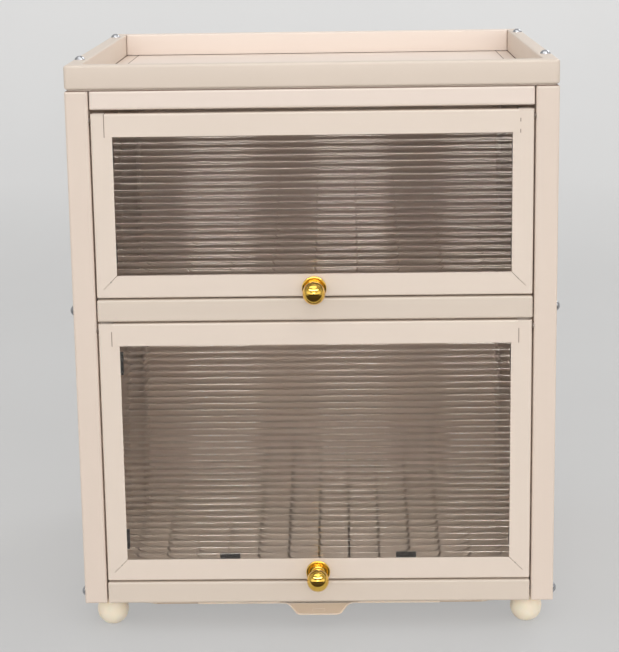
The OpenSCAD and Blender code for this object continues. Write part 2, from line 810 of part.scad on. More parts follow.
// Reeded panel: a plate with round-backed ribs across its front, each crest cut just flat
module door_panel(z0, h) {
    tall = h - 2 * door_rail_h + 2 * panel_grip;
    crown = rib_h + rib_flat;
    rib_r = (rib_pitch * rib_pitch / 4 + crown * crown) / (2 * crown);
    ribs = ceil(tall / rib_pitch);
    color(clear) at_home() translate([-panel_x, door_t, z0 + door_rail_h - panel_grip])
        rotate([90, 0, 90]) linear_extrude(2 * panel_x) union() {
            translate([rib_h - eps, 0]) square([panel_plate_t + eps, tall]);
            intersection() {
                square([rib_h, tall]);
                union() for (i = [0:ribs - 1]) {
                    translate([rib_r - crown + rib_h, (i + 0.5) * tall / ribs]) circle(rib_r, $fn = 96);
                }
            }
        }
}

// Foam pads that press a panel against the frame; show is how far they reach into the window
module door_pads(z0, h, show) {
    y = door_t + panel_t;
    low = z0 + door_rail_h;
    high = z0 + h - door_rail_h;
    color(foam_black) at_home() for (z = [low + pad_inset, high - pad_inset]) {
        translate([-window_x + show - pad_w, y, z - pad_len / 2]) cube([pad_w, pad_t, pad_len]);
        translate([window_x, y, z - pad_len / 2]) cube([pad_w, pad_t, pad_len]);
    }
    color(foam_black) at_home() for (s = [-1, 1]) {
        translate([s * pad_x - pad_len / 2, y, low + show - pad_w]) cube([pad_len, pad_t, pad_w]);
    }
}

module door_pins(z0, h) {
    color(steel) at_home() on_both_sides() translate([0, pivot_y, z0 + h - pivot_drop]) {
        bore_x(door_x - pin_in, post_x + pin_out, pin_r);
        bore_x(door_x - door_bend_r - pin_collar_t, door_x - door_bend_r, pin_r + pin_collar_lip);
    }
}

module door_washers(z0, h) {
    color(nylon) at_home() on_both_sides() translate([0, pivot_y, z0 + h - pivot_drop]) difference() {
        bore_x(door_x, door_x + washer_t, washer_r);
        bore_x(door_x - 1, door_x + washer_t + 1, pin_hole_r);
    }
}

// Half section of a disc with a rounded edge, which stands at a height
module bead_section(r, height, thickness) {
    translate([0, height]) square([r - thickness / 2, thickness]);
    translate([r - thickness / 2, height + thickness / 2]) intersection() {
        circle(thickness / 2);
        translate([0, -thickness]) square(2 * thickness);
    }
}

// Turned knob: a boss against the door, base and collar with rounded edges, neck and ball
module door_knob(z0) {
    base_top = knob_boss_h + knob_base_t;
    ball_r = knob_ball_d / 2;
    ball_y = knob_reach - ball_r;
    color(gold) at_home() translate([0, 0, z0 + knob_z]) rotate([90, 0, 0]) rotate_extrude($fn = 96)
        difference() {
            union() {
                square([knob_boss_d / 2, base_top - eps]);
                bead_section(knob_base_d / 2, knob_boss_h, knob_base_t);
                bead_section(knob_collar_d / 2, base_top - eps, knob_collar_t);
                square([knob_neck_d / 2, ball_y]);
                intersection() {
                    translate([0, ball_y]) circle(ball_r, $fn = 96);
                    square([ball_r + 1, knob_reach + 1]);
                }
            }
            translate([-1, -1]) square([screw_r - thread_bite + 1, knob_screw_depth + 2]);
        }
}

module door_knob_screw(z0) {
    color(steel) at_home() translate([0, door_t, z0 + knob_z]) rotate([90, 0, 0])
        domed_screw(door_t + knob_screw_depth, knob_screw_head_d, knob_screw_head_h);
}

module upper_door_frame() { door_frame(upper_door_z, upper_door_h); }
module upper_door_strip() { door_strip(upper_door_z, upper_door_h); }
module upper_door_panel() { door_panel(upper_door_z, upper_door_h); }
module upper_door_pads() { door_pads(upper_door_z, upper_door_h, 0); }
module upper_door_pins() { door_pins(upper_door_z, upper_door_h); }
module upper_door_washers() { door_washers(upper_door_z, upper_door_h); }
module upper_door_knob() { door_knob(upper_door_z); }
module upper_door_knob_screw() { door_knob_screw(upper_door_z); }

module lower_door_frame() { door_frame(lower_door_z, lower_door_h); }
module lower_door_strip() { door_strip(lower_door_z, lower_door_h); }
module lower_door_panel() { door_panel(lower_door_z, lower_door_h); }
module lower_door_pads() { door_pads(lower_door_z, lower_door_h, pad_peek); }
module lower_door_pins() { door_pins(lower_door_z, lower_door_h); }
module lower_door_washers() { door_washers(lower_door_z, lower_door_h); }
module lower_door_knob() { door_knob(lower_door_z); }
module lower_door_knob_screw() { door_knob_screw(lower_door_z); }

side_panel_left();
side_panel_right();
top_panel();
mid_shelf();
bottom_panel();
back_panel();
gallery_front_rail();
gallery_left_rail();
gallery_right_rail();
gallery_rear_rail();
gallery_screws();
gallery_nuts();
side_screws();
side_nuts();
bumper_lugs();
door_bumpers();
foot_front_left();
foot_front_right();
foot_rear_left();
foot_rear_right();
foot_studs();
foot_nuts();
tray_runner_left();
tray_runner_right();
drip_tray();
upper_door_frame();
upper_door_strip();
upper_door_panel();
upper_door_pads();
upper_door_pins();
upper_door_washers();
upper_door_knob();
upper_door_knob_screw();
lower_door_frame();
lower_door_strip();
lower_door_panel();
lower_door_pads();
lower_door_pins();
lower_door_washers();
lower_door_knob();
lower_door_knob_screw();
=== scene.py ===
import math

import bmesh
import bpy
from mathutils import Matrix, Vector


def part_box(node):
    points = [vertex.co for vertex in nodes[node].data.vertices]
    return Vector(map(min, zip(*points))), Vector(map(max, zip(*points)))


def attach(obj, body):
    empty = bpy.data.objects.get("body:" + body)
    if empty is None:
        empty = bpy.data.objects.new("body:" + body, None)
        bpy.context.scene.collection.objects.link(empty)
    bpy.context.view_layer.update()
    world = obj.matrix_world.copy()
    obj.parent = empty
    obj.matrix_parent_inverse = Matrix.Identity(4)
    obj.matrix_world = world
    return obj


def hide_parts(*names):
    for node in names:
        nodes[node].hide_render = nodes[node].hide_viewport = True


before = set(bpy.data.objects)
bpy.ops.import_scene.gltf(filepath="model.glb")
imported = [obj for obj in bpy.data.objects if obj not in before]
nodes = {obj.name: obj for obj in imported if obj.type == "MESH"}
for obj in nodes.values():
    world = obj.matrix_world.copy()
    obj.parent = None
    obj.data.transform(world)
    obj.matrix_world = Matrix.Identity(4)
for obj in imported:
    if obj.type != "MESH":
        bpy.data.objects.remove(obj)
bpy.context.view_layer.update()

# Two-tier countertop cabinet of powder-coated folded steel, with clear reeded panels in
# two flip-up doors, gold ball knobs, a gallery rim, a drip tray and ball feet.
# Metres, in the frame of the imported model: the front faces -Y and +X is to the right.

MM = 0.001
WELD = 0.01 * MM
FINE_WELD = 0.002 * MM


# Camera, as the photograph was taken

CAMERA_PLACE = Vector((0.0255, -1.6331, 0.6149))
CAMERA_TURN = math.radians(1.14)
CAMERA_TILT = math.radians(12.02)
CAMERA_ROLL = math.radians(-0.85)
CAMERA_LENS = 101.01
CAMERA_SHIFT = -0.06


def set_up_camera():
    data = bpy.data.cameras.new("photo_camera")
    data.lens = CAMERA_LENS
    data.shift_y = CAMERA_SHIFT
    data.clip_start = 0.05
    data.clip_end = 30
    camera = bpy.data.objects.new("photo_camera", data)
    bpy.context.scene.collection.objects.link(camera)
    turned = Matrix.Rotation(CAMERA_TURN, 4, "Z")
    tilted = turned @ Matrix.Rotation(math.radians(90) - CAMERA_TILT, 4, "X")
    camera.matrix_world = Matrix.Translation(CAMERA_PLACE) @ tilted @ Matrix.Rotation(CAMERA_ROLL, 4, "Z")
    bpy.context.scene.camera = camera


# Small helpers for node trees

def add_node(tree, kind, **settings):
    node = tree.nodes.new(kind)
    for name, value in settings.items():
        setattr(node, name, value)
    return node


def feed(tree, target, value):
    """Gives a socket a constant, or links it to the output that it is handed."""
    if isinstance(value, bpy.types.NodeSocket):
        tree.links.new(value, target)
    else:
        target.default_value = value


def calculate(tree, operation, first, second=None, third=None):
    node = add_node(tree, "ShaderNodeMath", operation=operation)
    for socket, value in zip(node.inputs, (first, second, third)):
        if value is not None:
            feed(tree, socket, value)
    return node.outputs[0]


def times(tree, first, second):
    return calculate(tree, "MULTIPLY", first, second)


def blend_colours(tree, factor, first, second):
    """Mixes two colours, each an output or three plain numbers."""
    node = add_node(tree, "ShaderNodeMix", data_type="RGBA")
    feed(tree, node.inputs[0], factor)
    for socket, colour in ((node.inputs[6], first), (node.inputs[7], second)):
        feed(tree, socket, (*colour, 1) if isinstance(colour, tuple) else colour)
    return node.outputs[2]


def coordinates(tree, place):
    """The X, Y and Z of a place, as three outputs."""
    node = add_node(tree, "ShaderNodeSeparateXYZ")
    feed(tree, node.inputs[0], place)
    return node.outputs


def most_of(tree, *masks):
    total = masks[0]
    for mask in masks[1:]:
        total = calculate(tree, "MAXIMUM", total, mask)
    return total


def noise(tree, place, scale, detail=2.0, roughness=0.5):
    node = add_node(tree, "ShaderNodeTexNoise")
    feed(tree, node.inputs["Vector"], place)
    feed(tree, node.inputs["Scale"], scale)
    node.inputs["Detail"].default_value = detail
    node.inputs["Roughness"].default_value = roughness
    return node.outputs["Fac"]


def ramp(tree, value, low, high, low_out=0.0, high_out=1.0):
    node = add_node(tree, "ShaderNodeMapRange", clamp=True)
    for socket, number in zip(node.inputs, (value, low, high, low_out, high_out)):
        feed(tree, socket, number)
    return node.outputs[0]


def surface_group(name, inputs, outputs):
    """Starts a shader node group and returns it with its input and output nodes."""
    group = bpy.data.node_groups.new(name, "ShaderNodeTree")
    for label, kind, value in inputs:
        socket = group.interface.new_socket(label, in_out="INPUT", socket_type="NodeSocket" + kind)
        if value is not None:
            socket.default_value = value
    for label, kind in outputs:
        group.interface.new_socket(label, in_out="OUTPUT", socket_type="NodeSocket" + kind)
    return group, add_node(group, "NodeGroupInput").outputs, add_node(group, "NodeGroupOutput").inputs


def place_group(tree, group, **values):
    """Places a group in a material; each value's name is its socket's, with _ for a space."""
    node = add_node(tree, "ShaderNodeGroup", node_tree=group)
    for name, value in values.items():
        feed(tree, node.inputs[name.replace("_", " ")], value)
    return node.outputs


# Effects that several finishes share

SKIN = [("Colour", "Color"), ("Roughness", "Float"), ("Height", "Float")]


def make_powder_coat_group():
    """Baked powder paint: soft orange peel, fine grain and very slight cloudiness."""
    group, given, result = surface_group(
        "powder coat",
        [("Place", "Vector", None), ("Paint", "Color", (0.8, 0.8, 0.8, 1)), ("Cloud", "Float", 0.03),
         ("Peel Size", "Float", 420.0), ("Gloss", "Float", 0.42)],
        SKIN)
    cloud = noise(group, given["Place"], 9.0, 3.0)
    fleck = noise(group, given["Place"], 1500.0, 1.0)
    drift = calculate(group, "SUBTRACT", cloud, 0.5)
    tone = calculate(group, "MULTIPLY_ADD", drift, given["Cloud"], 1.0)
    grain = calculate(group, "MULTIPLY_ADD", calculate(group, "SUBTRACT", fleck, 0.5), 0.02, tone)
    brightness = add_node(group, "ShaderNodeVectorMath", operation="SCALE")
    feed(group, brightness.inputs[0], given["Paint"])
    feed(group, brightness.inputs["Scale"], grain)
    feed(group, result["Colour"], brightness.outputs[0])
    peel = noise(group, given["Place"], given["Peel Size"], 2.0, 0.4)
    feed(group, result["Roughness"], calculate(group, "MULTIPLY_ADD", drift, 0.12, given["Gloss"]))
    feed(group, result["Height"], calculate(group, "MULTIPLY_ADD", fleck, 0.15, peel))
    return group


def make_handling_group():
    """Faint rubbed patches and dust that change the gloss from place to place."""
    group, given, result = surface_group(
        "handling marks",
        [("Place", "Vector", None), ("Spread", "Float", 30.0), ("Amount", "Float", 0.5)],
        [("Mask", "Float")])
    stretched = add_node(group, "ShaderNodeMapping")
    feed(group, stretched.inputs["Vector"], given["Place"])
    stretched.inputs["Scale"].default_value = (1.0, 1.0, 3.0)
    broad = noise(group, stretched.outputs[0], given["Spread"], 4.0, 0.6)
    patch = ramp(group, broad, 0.52, 0.75)
    feed(group, result["Mask"], times(group, patch, given["Amount"]))
    return group


def make_moulded_group():
    """Injection-moulded plastic: fine spark-eroded texture with faint flow clouds."""
    group, given, result = surface_group(
        "moulded plastic",
        [("Place", "Vector", None), ("Resin", "Color", (0.8, 0.8, 0.8, 1)),
         ("Deep", "Color", (0.7, 0.7, 0.7, 1)), ("Grain Size", "Float", 900.0), ("Gloss", "Float", 0.3)],
        SKIN)
    flow = noise(group, given["Place"], 35.0, 3.0, 0.6)
    grain = noise(group, given["Place"], given["Grain Size"], 2.0)
    feed(group, result["Colour"],
         blend_colours(group, ramp(group, flow, 0.35, 0.75), given["Resin"], given["Deep"]))
    feed(group, result["Roughness"], calculate(group, "MULTIPLY_ADD", grain, 0.1, given["Gloss"]))
    feed(group, result["Height"], grain)
    return group


def make_plated_group():
    """Plated metal: clouded lustre and fine specks in the plating."""
    group, given, result = surface_group(
        "plated metal",
        [("Place", "Vector", None), ("Metal", "Color", (0.8, 0.8, 0.8, 1)),
         ("Dull", "Color", (0.6, 0.6, 0.6, 1)), ("Speck Size", "Float", 1200.0), ("Gloss", "Float", 0.2)],
        SKIN)
    cloud = noise(group, given["Place"], 160.0, 3.0, 0.6)
    speck = noise(group, given["Place"], given["Speck Size"], 1.0)
    tone = ramp(group, cloud, 0.4, 0.75)
    feed(group, result["Colour"], blend_colours(group, tone, given["Metal"], given["Dull"]))
    feed(group, result["Roughness"], calculate(group, "MULTIPLY_ADD", tone, 0.12, given["Gloss"]))
    feed(group, result["Height"], speck)
    return group


def make_seam_group():
    """A thin line of painted shade in a seam, a given way along it and across it."""
    group, given, result = surface_group(
        "seam shade",
        [("Across", "Float", 0.0), ("Half Width", "Float", 0.0005), ("Along", "Float", 0.0),
         ("Start", "Float", 0.0), ("End", "Float", 1.0)],
        [("Mask", "Float")])
    off = calculate(group, "ABSOLUTE", given["Across"])
    near = ramp(group, off, given["Half Width"], times(group, given["Half Width"], 1.5), 1.0, 0.0)
    begun = calculate(group, "GREATER_THAN", given["Along"], given["Start"])
    going = calculate(group, "LESS_THAN", given["Along"], given["End"])
    feed(group, result["Mask"], times(group, near, times(group, begun, going)))
    return group


POWDER_COAT = make_powder_coat_group()
HANDLING_MARKS = make_handling_group()
MOULDED_PLASTIC = make_moulded_group()
PLATED_METAL = make_plated_group()
SEAM_SHADE = make_seam_group()


# Finishes

def start_finish(name):
    """A material with one Principled shader, and the place on the piece that its patterns read."""
    finish = bpy.data.materials.new(name)
    finish.use_nodes = True
    tree = finish.node_tree
    tree.nodes.clear()
    shader = add_node(tree, "ShaderNodeBsdfPrincipled")
    output = add_node(tree, "ShaderNodeOutputMaterial")
    tree.links.new(shader.outputs["BSDF"], output.inputs["Surface"])
    place = add_node(tree, "ShaderNodeTexCoord").outputs["Object"]
    return finish, tree, shader, place


def raise_surface(tree, shader, height, depth, strength=1.0):
    bump = add_node(tree, "ShaderNodeBump")
    bump.inputs["Distance"].default_value = depth
    bump.inputs["Strength"].default_value = strength
    feed(tree, bump.inputs["Height"], height)
    tree.links.new(bump.outputs["Normal"], shader.inputs["Normal"])


def wear_skin(tree, shader, skin, depth, strength):
    feed(tree, shader.inputs["Base Color"], skin["Colour"])
    feed(tree, shader.inputs["Roughness"], skin["Roughness"])
    raise_surface(tree, shader, skin["Height"], depth, strength)


def powder_finish(name, paint, gloss=0.42, cloud=0.03, seams=None):
    """Powder coat; seams, where given, adds the masks of painted shade in the seams that run over this paint.
    """
    finish, tree, shader, place = start_finish(name)
    coat = place_group(tree, POWDER_COAT, Place=place, Paint=(*paint, 1), Cloud=cloud, Gloss=gloss)
    marks = place_group(tree, HANDLING_MARKS, Place=place, Spread=18.0, Amount=0.08)
    colour = coat["Colour"]
    if seams:
        # Painted shade: the seam masks blend the paint towards brown.
        colour = blend_colours(tree, seams(tree, place), colour, PAINTED_SHADE_BROWN)
    feed(tree, shader.inputs["Base Color"], colour)
    feed(tree, shader.inputs["Roughness"], calculate(tree, "ADD", coat["Roughness"], marks["Mask"]))
    raise_surface(tree, shader, coat["Height"], 0.02 * MM, 0.5)
    shader.inputs["IOR"].default_value = 1.46
    return finish


def plastic_finish(name, resin, deep, gloss, scatter):
    finish, tree, shader, place = start_finish(name)
    body = place_group(tree, MOULDED_PLASTIC, Place=place, Resin=(*resin, 1), Deep=(*deep, 1), Gloss=gloss)
    wear_skin(tree, shader, body, 0.01 * MM, 0.6)
    shader.inputs["IOR"].default_value = 1.49
    shader.inputs["Subsurface Weight"].default_value = scatter
    shader.inputs["Subsurface Radius"].default_value = (1.0, 0.7, 0.4)
    shader.inputs["Subsurface Scale"].default_value = 2 * MM
    return finish


def metal_finish(name, metal, dull, gloss, speck=0.002):
    finish, tree, shader, place = start_finish(name)
    skin = place_group(tree, PLATED_METAL, Place=place, Metal=(*metal, 1), Dull=(*dull, 1), Gloss=gloss)
    wear_skin(tree, shader, skin, speck * MM, 0.5)
    shader.inputs["Metallic"].default_value = 1.0
    return finish


def foam_finish():
    finish, tree, shader, place = start_finish("black foam")
    cells = add_node(tree, "ShaderNodeTexVoronoi")
    feed(tree, cells.inputs["Vector"], place)
    cells.inputs["Scale"].default_value = 1300
    feed(tree, shader.inputs["Base Color"],
         blend_colours(tree, cells.outputs["Distance"], (0.008, 0.008, 0.008), (0.03, 0.03, 0.032)))
    feed(tree, shader.inputs["Roughness"], ramp(tree, cells.outputs["Distance"], 0.0, 0.8, 0.75, 0.95))
    raise_surface(tree, shader, cells.outputs["Distance"], 0.2 * MM)
    return finish


def acrylic_finish(name, faint, clear):
    """Clear sheet with a faint smoke tint; light falls through it on what stands inside."""
    finish, tree, shader, place = start_finish(name)
    haze = noise(tree, place, 60.0, 3.0, 0.6)
    feed(tree, shader.inputs["Base Color"], blend_colours(tree, haze, faint, clear))
    feed(tree, shader.inputs["Roughness"], ramp(tree, haze, 0.3, 0.7, 0.03, 0.06))
    raise_surface(tree, shader, noise(tree, place, 700.0, 2.0), 0.01 * MM, 0.4)
    shader.inputs["IOR"].default_value = 1.49
    shader.inputs["Transmission Weight"].default_value = 1.0
    shader.inputs["Specular Tint"].default_value = (1.0, 0.93, 0.85, 1)
    rays = add_node(tree, "ShaderNodeLightPath")
    feed(tree, shader.inputs["Alpha"], ramp(tree, rays.outputs["Is Shadow Ray"], 0.0, 1.0, 1.0, 0.25))
    return finish


# Where the fine seams run, from the CAD, and how wide the painted shade along them is

# Painted shade: the brown that the seams and the deck under the rim are darkened towards.
PAINTED_SHADE_BROWN = (0.20, 0.115, 0.075)
DECK_SHADE = 0.9
STRIP_SHADE = 0.8
DECK_JOINT_W = 0.42 * MM
WALL_JOINT_W = 0.5 * MM
REAR_JOINT_W = 0.6 * MM
STRIP_JOINT_W = 0.3 * MM
DECK_Z = 464.5 * MM
DECK_SEAM_X = 176.0 * MM
RIM_BASE_X = 187.3 * MM
RIM_BASE_Y = 177.7 * MM
RIM_FRONT_Y = -147.3 * MM
STRIP_EDGE_X = 168.6 * MM
UPPER_STRIP_Z = (426.6 * MM, 445.8 * MM)
LOWER_STRIP_Z = (252.1 * MM, 264.5 * MM)


def deck_seam_shade(tree, place):
    """Painted shade along the joints of the deck with the side flanges, and under the foot of the rim."""
    spot = coordinates(tree, place)
    aside = calculate(tree, "ABSOLUTE", spot["X"])
    masks = []
    for reading, seam, width in ((aside, DECK_SEAM_X, DECK_JOINT_W), (aside, RIM_BASE_X, WALL_JOINT_W),
                                 (spot["Y"], RIM_BASE_Y, REAR_JOINT_W)):
        masks.append(place_group(
            tree, SEAM_SHADE, Across=calculate(tree, "SUBTRACT", reading, seam), Half_Width=width,
            Along=spot["Z"], Start=DECK_Z - 0.5 * MM, End=DECK_Z + 0.5 * MM)["Mask"])
    # Painted shade on the deck where it runs under the rim's overhang.
    sideways = calculate(tree, "GREATER_THAN", aside, RIM_BASE_X)
    in_front = calculate(tree, "LESS_THAN", spot["Y"], RIM_FRONT_Y)
    on_deck = times(tree, calculate(tree, "GREATER_THAN", spot["Z"], DECK_Z - 0.6 * MM),
                    calculate(tree, "LESS_THAN", spot["Z"], DECK_Z + 0.2 * MM))
    shade_below_rim = times(tree, most_of(tree, sideways, in_front), on_deck)
    return times(tree, most_of(tree, *masks, shade_below_rim), DECK_SHADE)


def strip_seam_shade(tree, place):
    """Painted shade where the top strips of the doors end over the stiles; the upper right one only shows in
    two dashes.
    """
    spot = coordinates(tree, place)
    masks = []
    for side, low, high in ((-1, *UPPER_STRIP_Z), (1, UPPER_STRIP_Z[0], UPPER_STRIP_Z[0] + 3 * MM),
                            (1, UPPER_STRIP_Z[0] + 9 * MM, UPPER_STRIP_Z[0] + 12 * MM),
                            (-1, *LOWER_STRIP_Z), (1, *LOWER_STRIP_Z)):
        across = calculate(tree, "SUBTRACT", spot["X"], side * STRIP_EDGE_X)
        masks.append(place_group(tree, SEAM_SHADE, Across=across, Half_Width=STRIP_JOINT_W,
                                 Along=spot["Z"], Start=low, End=high)["Mask"])
    return times(tree, most_of(tree, *masks), STRIP_SHADE)


# Colours and finishes of this cabinet's pieces

PAINT_POST = (0.755, 0.640, 0.552)
PAINT_RAIL = (0.700, 0.605, 0.515)
PAINT_RIM = (0.705, 0.605, 0.515)
# Partly painted light: the top is painted lighter than the posts, for the stronger light falling on the deck
# and top rail.
PAINT_TOP_LIT = (0.800, 0.690, 0.610)
PAINT_DOOR = (0.765, 0.660, 0.570)

FINISHES = {
    "post": powder_finish("powder coat on the posts", PAINT_POST, seams=deck_seam_shade),
    "rail": powder_finish("powder coat on the rails", PAINT_RAIL),
    "rim": powder_finish("powder coat on the gallery rim", PAINT_RIM),
    # The top's lighter paint is partly painted light.
    "top": powder_finish("powder coat on the top", PAINT_TOP_LIT, seams=deck_seam_shade),
    "door": powder_finish("powder coat on the doors", PAINT_DOOR, 0.4, seams=strip_seam_shade),
    "zinc": metal_finish("zinc-plated steel", (0.46, 0.47, 0.49), (0.30, 0.31, 0.33), 0.26),
    "gold": metal_finish("polished gold plate", (0.90, 0.60, 0.13), (0.84, 0.52, 0.09), 0.05, 0.0003),
    "foot": plastic_finish("ivory foot plastic", (0.92, 0.83, 0.67), (0.88, 0.78, 0.61), 0.3, 0.3),
    "tray": plastic_finish("tray plastic", (0.78, 0.66, 0.54), (0.74, 0.62, 0.50), 0.36, 0.2),
    # A darker copy of the tray plastic: painted shade in the tab's hollow.
    "tab": plastic_finish("tray plastic in the tab's hollow", (0.60, 0.465, 0.34), (0.56, 0.43, 0.31),
                          0.42, 0.0),
    "nylon": plastic_finish("white nylon", (0.80, 0.80, 0.77), (0.75, 0.75, 0.72), 0.35, 0.2),
    "washer": plastic_finish("stained nylon of the pivots", (0.16, 0.11, 0.08), (0.10, 0.07, 0.05),
                             0.4, 0.0),
    "foam": foam_finish(),
    "acrylic": acrylic_finish("clear reeded acrylic", (0.99, 0.95, 0.92), (1.0, 0.975, 0.945)),
    # A darker copy of the acrylic for the upper door, so what shows through that door is darker.
    "smoked": acrylic_finish("faintly smoked reeded acrylic", (0.81, 0.755, 0.725), (0.84, 0.79, 0.76)),
}

NODES_IN_FINISH = {
    "post": ("side_panel_left", "side_panel_right", "back_panel", "bumper_lugs"),
    "rail": ("mid_shelf", "bottom_panel", "tray_runner_left", "tray_runner_right",
             "gallery_front_rail", "gallery_left_rail", "gallery_right_rail"),
    "top": ("top_panel", "gallery_rear_rail"),
    "zinc": ("gallery_screws", "gallery_nuts", "side_screws", "side_nuts", "foot_studs", "foot_nuts"),
    "foot": ("foot_front_left", "foot_front_right", "foot_rear_left", "foot_rear_right"),
    "nylon": ("door_bumpers",),
    "tray": ("drip_tray",),
}
FINISH_OF_DOOR_PART = {
    "frame": "door", "strip": "door", "panel": "acrylic", "pads": "foam", "pins": "zinc",
    "washers": "washer", "knob": "gold", "knob_screw": "zinc",
}
DOORS = ("upper_door", "lower_door")


def paint_cad_nodes():
    wanted = {name: finish for finish, names in NODES_IN_FINISH.items() for name in names}
    for door in DOORS:
        for part, finish in FINISH_OF_DOOR_PART.items():
            wanted[f"{door}_{part}"] = finish
    for name, finish in wanted.items():
        for place in nodes[name].material_slots:
            place.material = FINISHES[finish]


# Making pieces

def keep_piece(name, mesh, body, replaced, finish=None, crease=math.radians(35)):
    """Puts a finished mesh into the object: it rides on its body and stands for its CAD nodes."""
    if finish:
        mesh.materials.clear()
        mesh.materials.append(FINISHES[finish])
    mesh.shade_smooth()
    mesh.set_sharp_from_angle(angle=crease)
    piece = linked_object(name, mesh)
    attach(piece, body)
    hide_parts(*replaced)


def add_ring(form, radii, height):
    """Points all round the Z axis, one for each radius."""
    turns = [2 * math.pi * k / len(radii) for k in range(len(radii))]
    return [form.verts.new((r * math.cos(a), r * math.sin(a), height)) for r, a in zip(radii, turns)]


def skin_rings(form, rings):
    """Joins rings of as many points each with faces and closes both ends."""
    for first, second in zip(rings, rings[1:]):
        for k in range(len(first)):
            after = (k + 1) % len(first)
            form.faces.new((first[k], second[k], second[after], first[after]))
    form.faces.new(rings[0])
    form.faces.new(list(reversed(rings[-1])))


def add_box(form, low, high):
    """A box from its low to its high corner."""
    points = bmesh.ops.create_cube(form, size=1.0)["verts"]
    for v in points:
        v.co = [high[k] if v.co[k] > 0 else low[k] for k in range(3)]
    return points


def turned_form(profile, steps=64):
    """A closed turned form round +Z from (radius, height) points, which start and end on the axis."""
    form = bmesh.new()
    rings = []
    for radius, height in profile:
        if radius < 1e-7:
            rings.append([form.verts.new((0, 0, height))])
        else:
            rings.append(add_ring(form, [radius] * steps, height))
    for lower, upper in zip(rings, rings[1:]):
        for k in range(steps):
            after = (k + 1) % steps
            if len(lower) == 1:
                form.faces.new((lower[0], upper[after], upper[k]))
            elif len(upper) == 1:
                form.faces.new((lower[k], lower[after], upper[0]))
            else:
                form.faces.new((lower[k], lower[after], upper[after], upper[k]))
    bmesh.ops.recalc_face_normals(form, faces=form.faces)
    return form


def arc_points(centre, radius, start, end, count):
    """Points of an arc in a profile, angles in degrees from the radius axis."""
    angles = [math.radians(start + (end - start) * k / count) for k in range(count + 1)]
    return [(centre[0] + radius * math.cos(a), centre[1] + radius * math.sin(a)) for a in angles]


def form_to_mesh(form, name):
    mesh = bpy.data.meshes.new(name)
    form.to_mesh(mesh)
    form.free()
    return mesh


def linked_object(name, data):
    made = bpy.data.objects.new(name, data)
    bpy.context.scene.collection.objects.link(made)
    return made


def plain_mesh_of(holder):
    """The mesh of an object with its modifiers worked in."""
    depsgraph = bpy.context.evaluated_depsgraph_get()
    return bpy.data.meshes.new_from_object(holder.evaluated_get(depsgraph))


def cut_out(holder, tool_form, use_self=False):
    """What is left of an object when the tool's form is cut out of it."""
    tool = linked_object("cutter", form_to_mesh(tool_form, "cutter"))
    cut = holder.modifiers.new("cut", "BOOLEAN")
    cut.operation = "DIFFERENCE"
    cut.object = tool
    cut.solver = "EXACT"
    cut.use_self = use_self
    mesh = plain_mesh_of(holder)
    holder.modifiers.remove(cut)
    bpy.data.objects.remove(tool)
    return mesh


# Geometry node trees

def geometry_tree(name, sizes):
    """Starts a geometry tree with named inputs and returns it with its input and output nodes."""
    tree = bpy.data.node_groups.new(name, "GeometryNodeTree")
    tree.interface.new_socket("Geometry", in_out="INPUT", socket_type="NodeSocketGeometry")
    for label, kind, value in sizes:
        socket = tree.interface.new_socket(label, in_out="INPUT", socket_type="NodeSocket" + kind)
        if value is not None:
            socket.default_value = value
    tree.interface.new_socket("Geometry", in_out="OUTPUT", socket_type="NodeSocketGeometry")
    return tree, add_node(tree, "NodeGroupInput").outputs, add_node(tree, "NodeGroupOutput").inputs


def step(tree, kind, first, **values):
    """Adds a node fed at its first socket and, by name with _ for a space, at others."""
    node = add_node(tree, kind)
    feed(tree, node.inputs[0], first)
    for name, value in values.items():
        feed(tree, node.inputs[name.replace("_", " ")], value)
    return node.outputs


def finish_tree(tree, geometry, finish, result):
    """Every tree ends in Realize Instances and Set Material."""
    real = step(tree, "GeometryNodeRealizeInstances", geometry)[0]
    feed(tree, result["Geometry"], step(tree, "GeometryNodeSetMaterial", real, Material=finish)[0])


def grow(tree, carrier, **values):
    """Runs a geometry tree on a carrier mesh and hands back the result as a plain mesh."""
    holder = linked_object(tree.name, carrier)
    modifier = holder.modifiers.new("grow", "NODES")
    modifier.node_group = tree
    for item in tree.interface.items_tree:
        label = item.name.replace(" ", "_")
        if item.in_out == "INPUT" and label in values:
            modifier[item.identifier] = values[label]
    holder.update_tag()
    mesh = plain_mesh_of(holder)
    holder.modifiers.remove(modifier)
    bpy.data.objects.remove(holder)
    return mesh


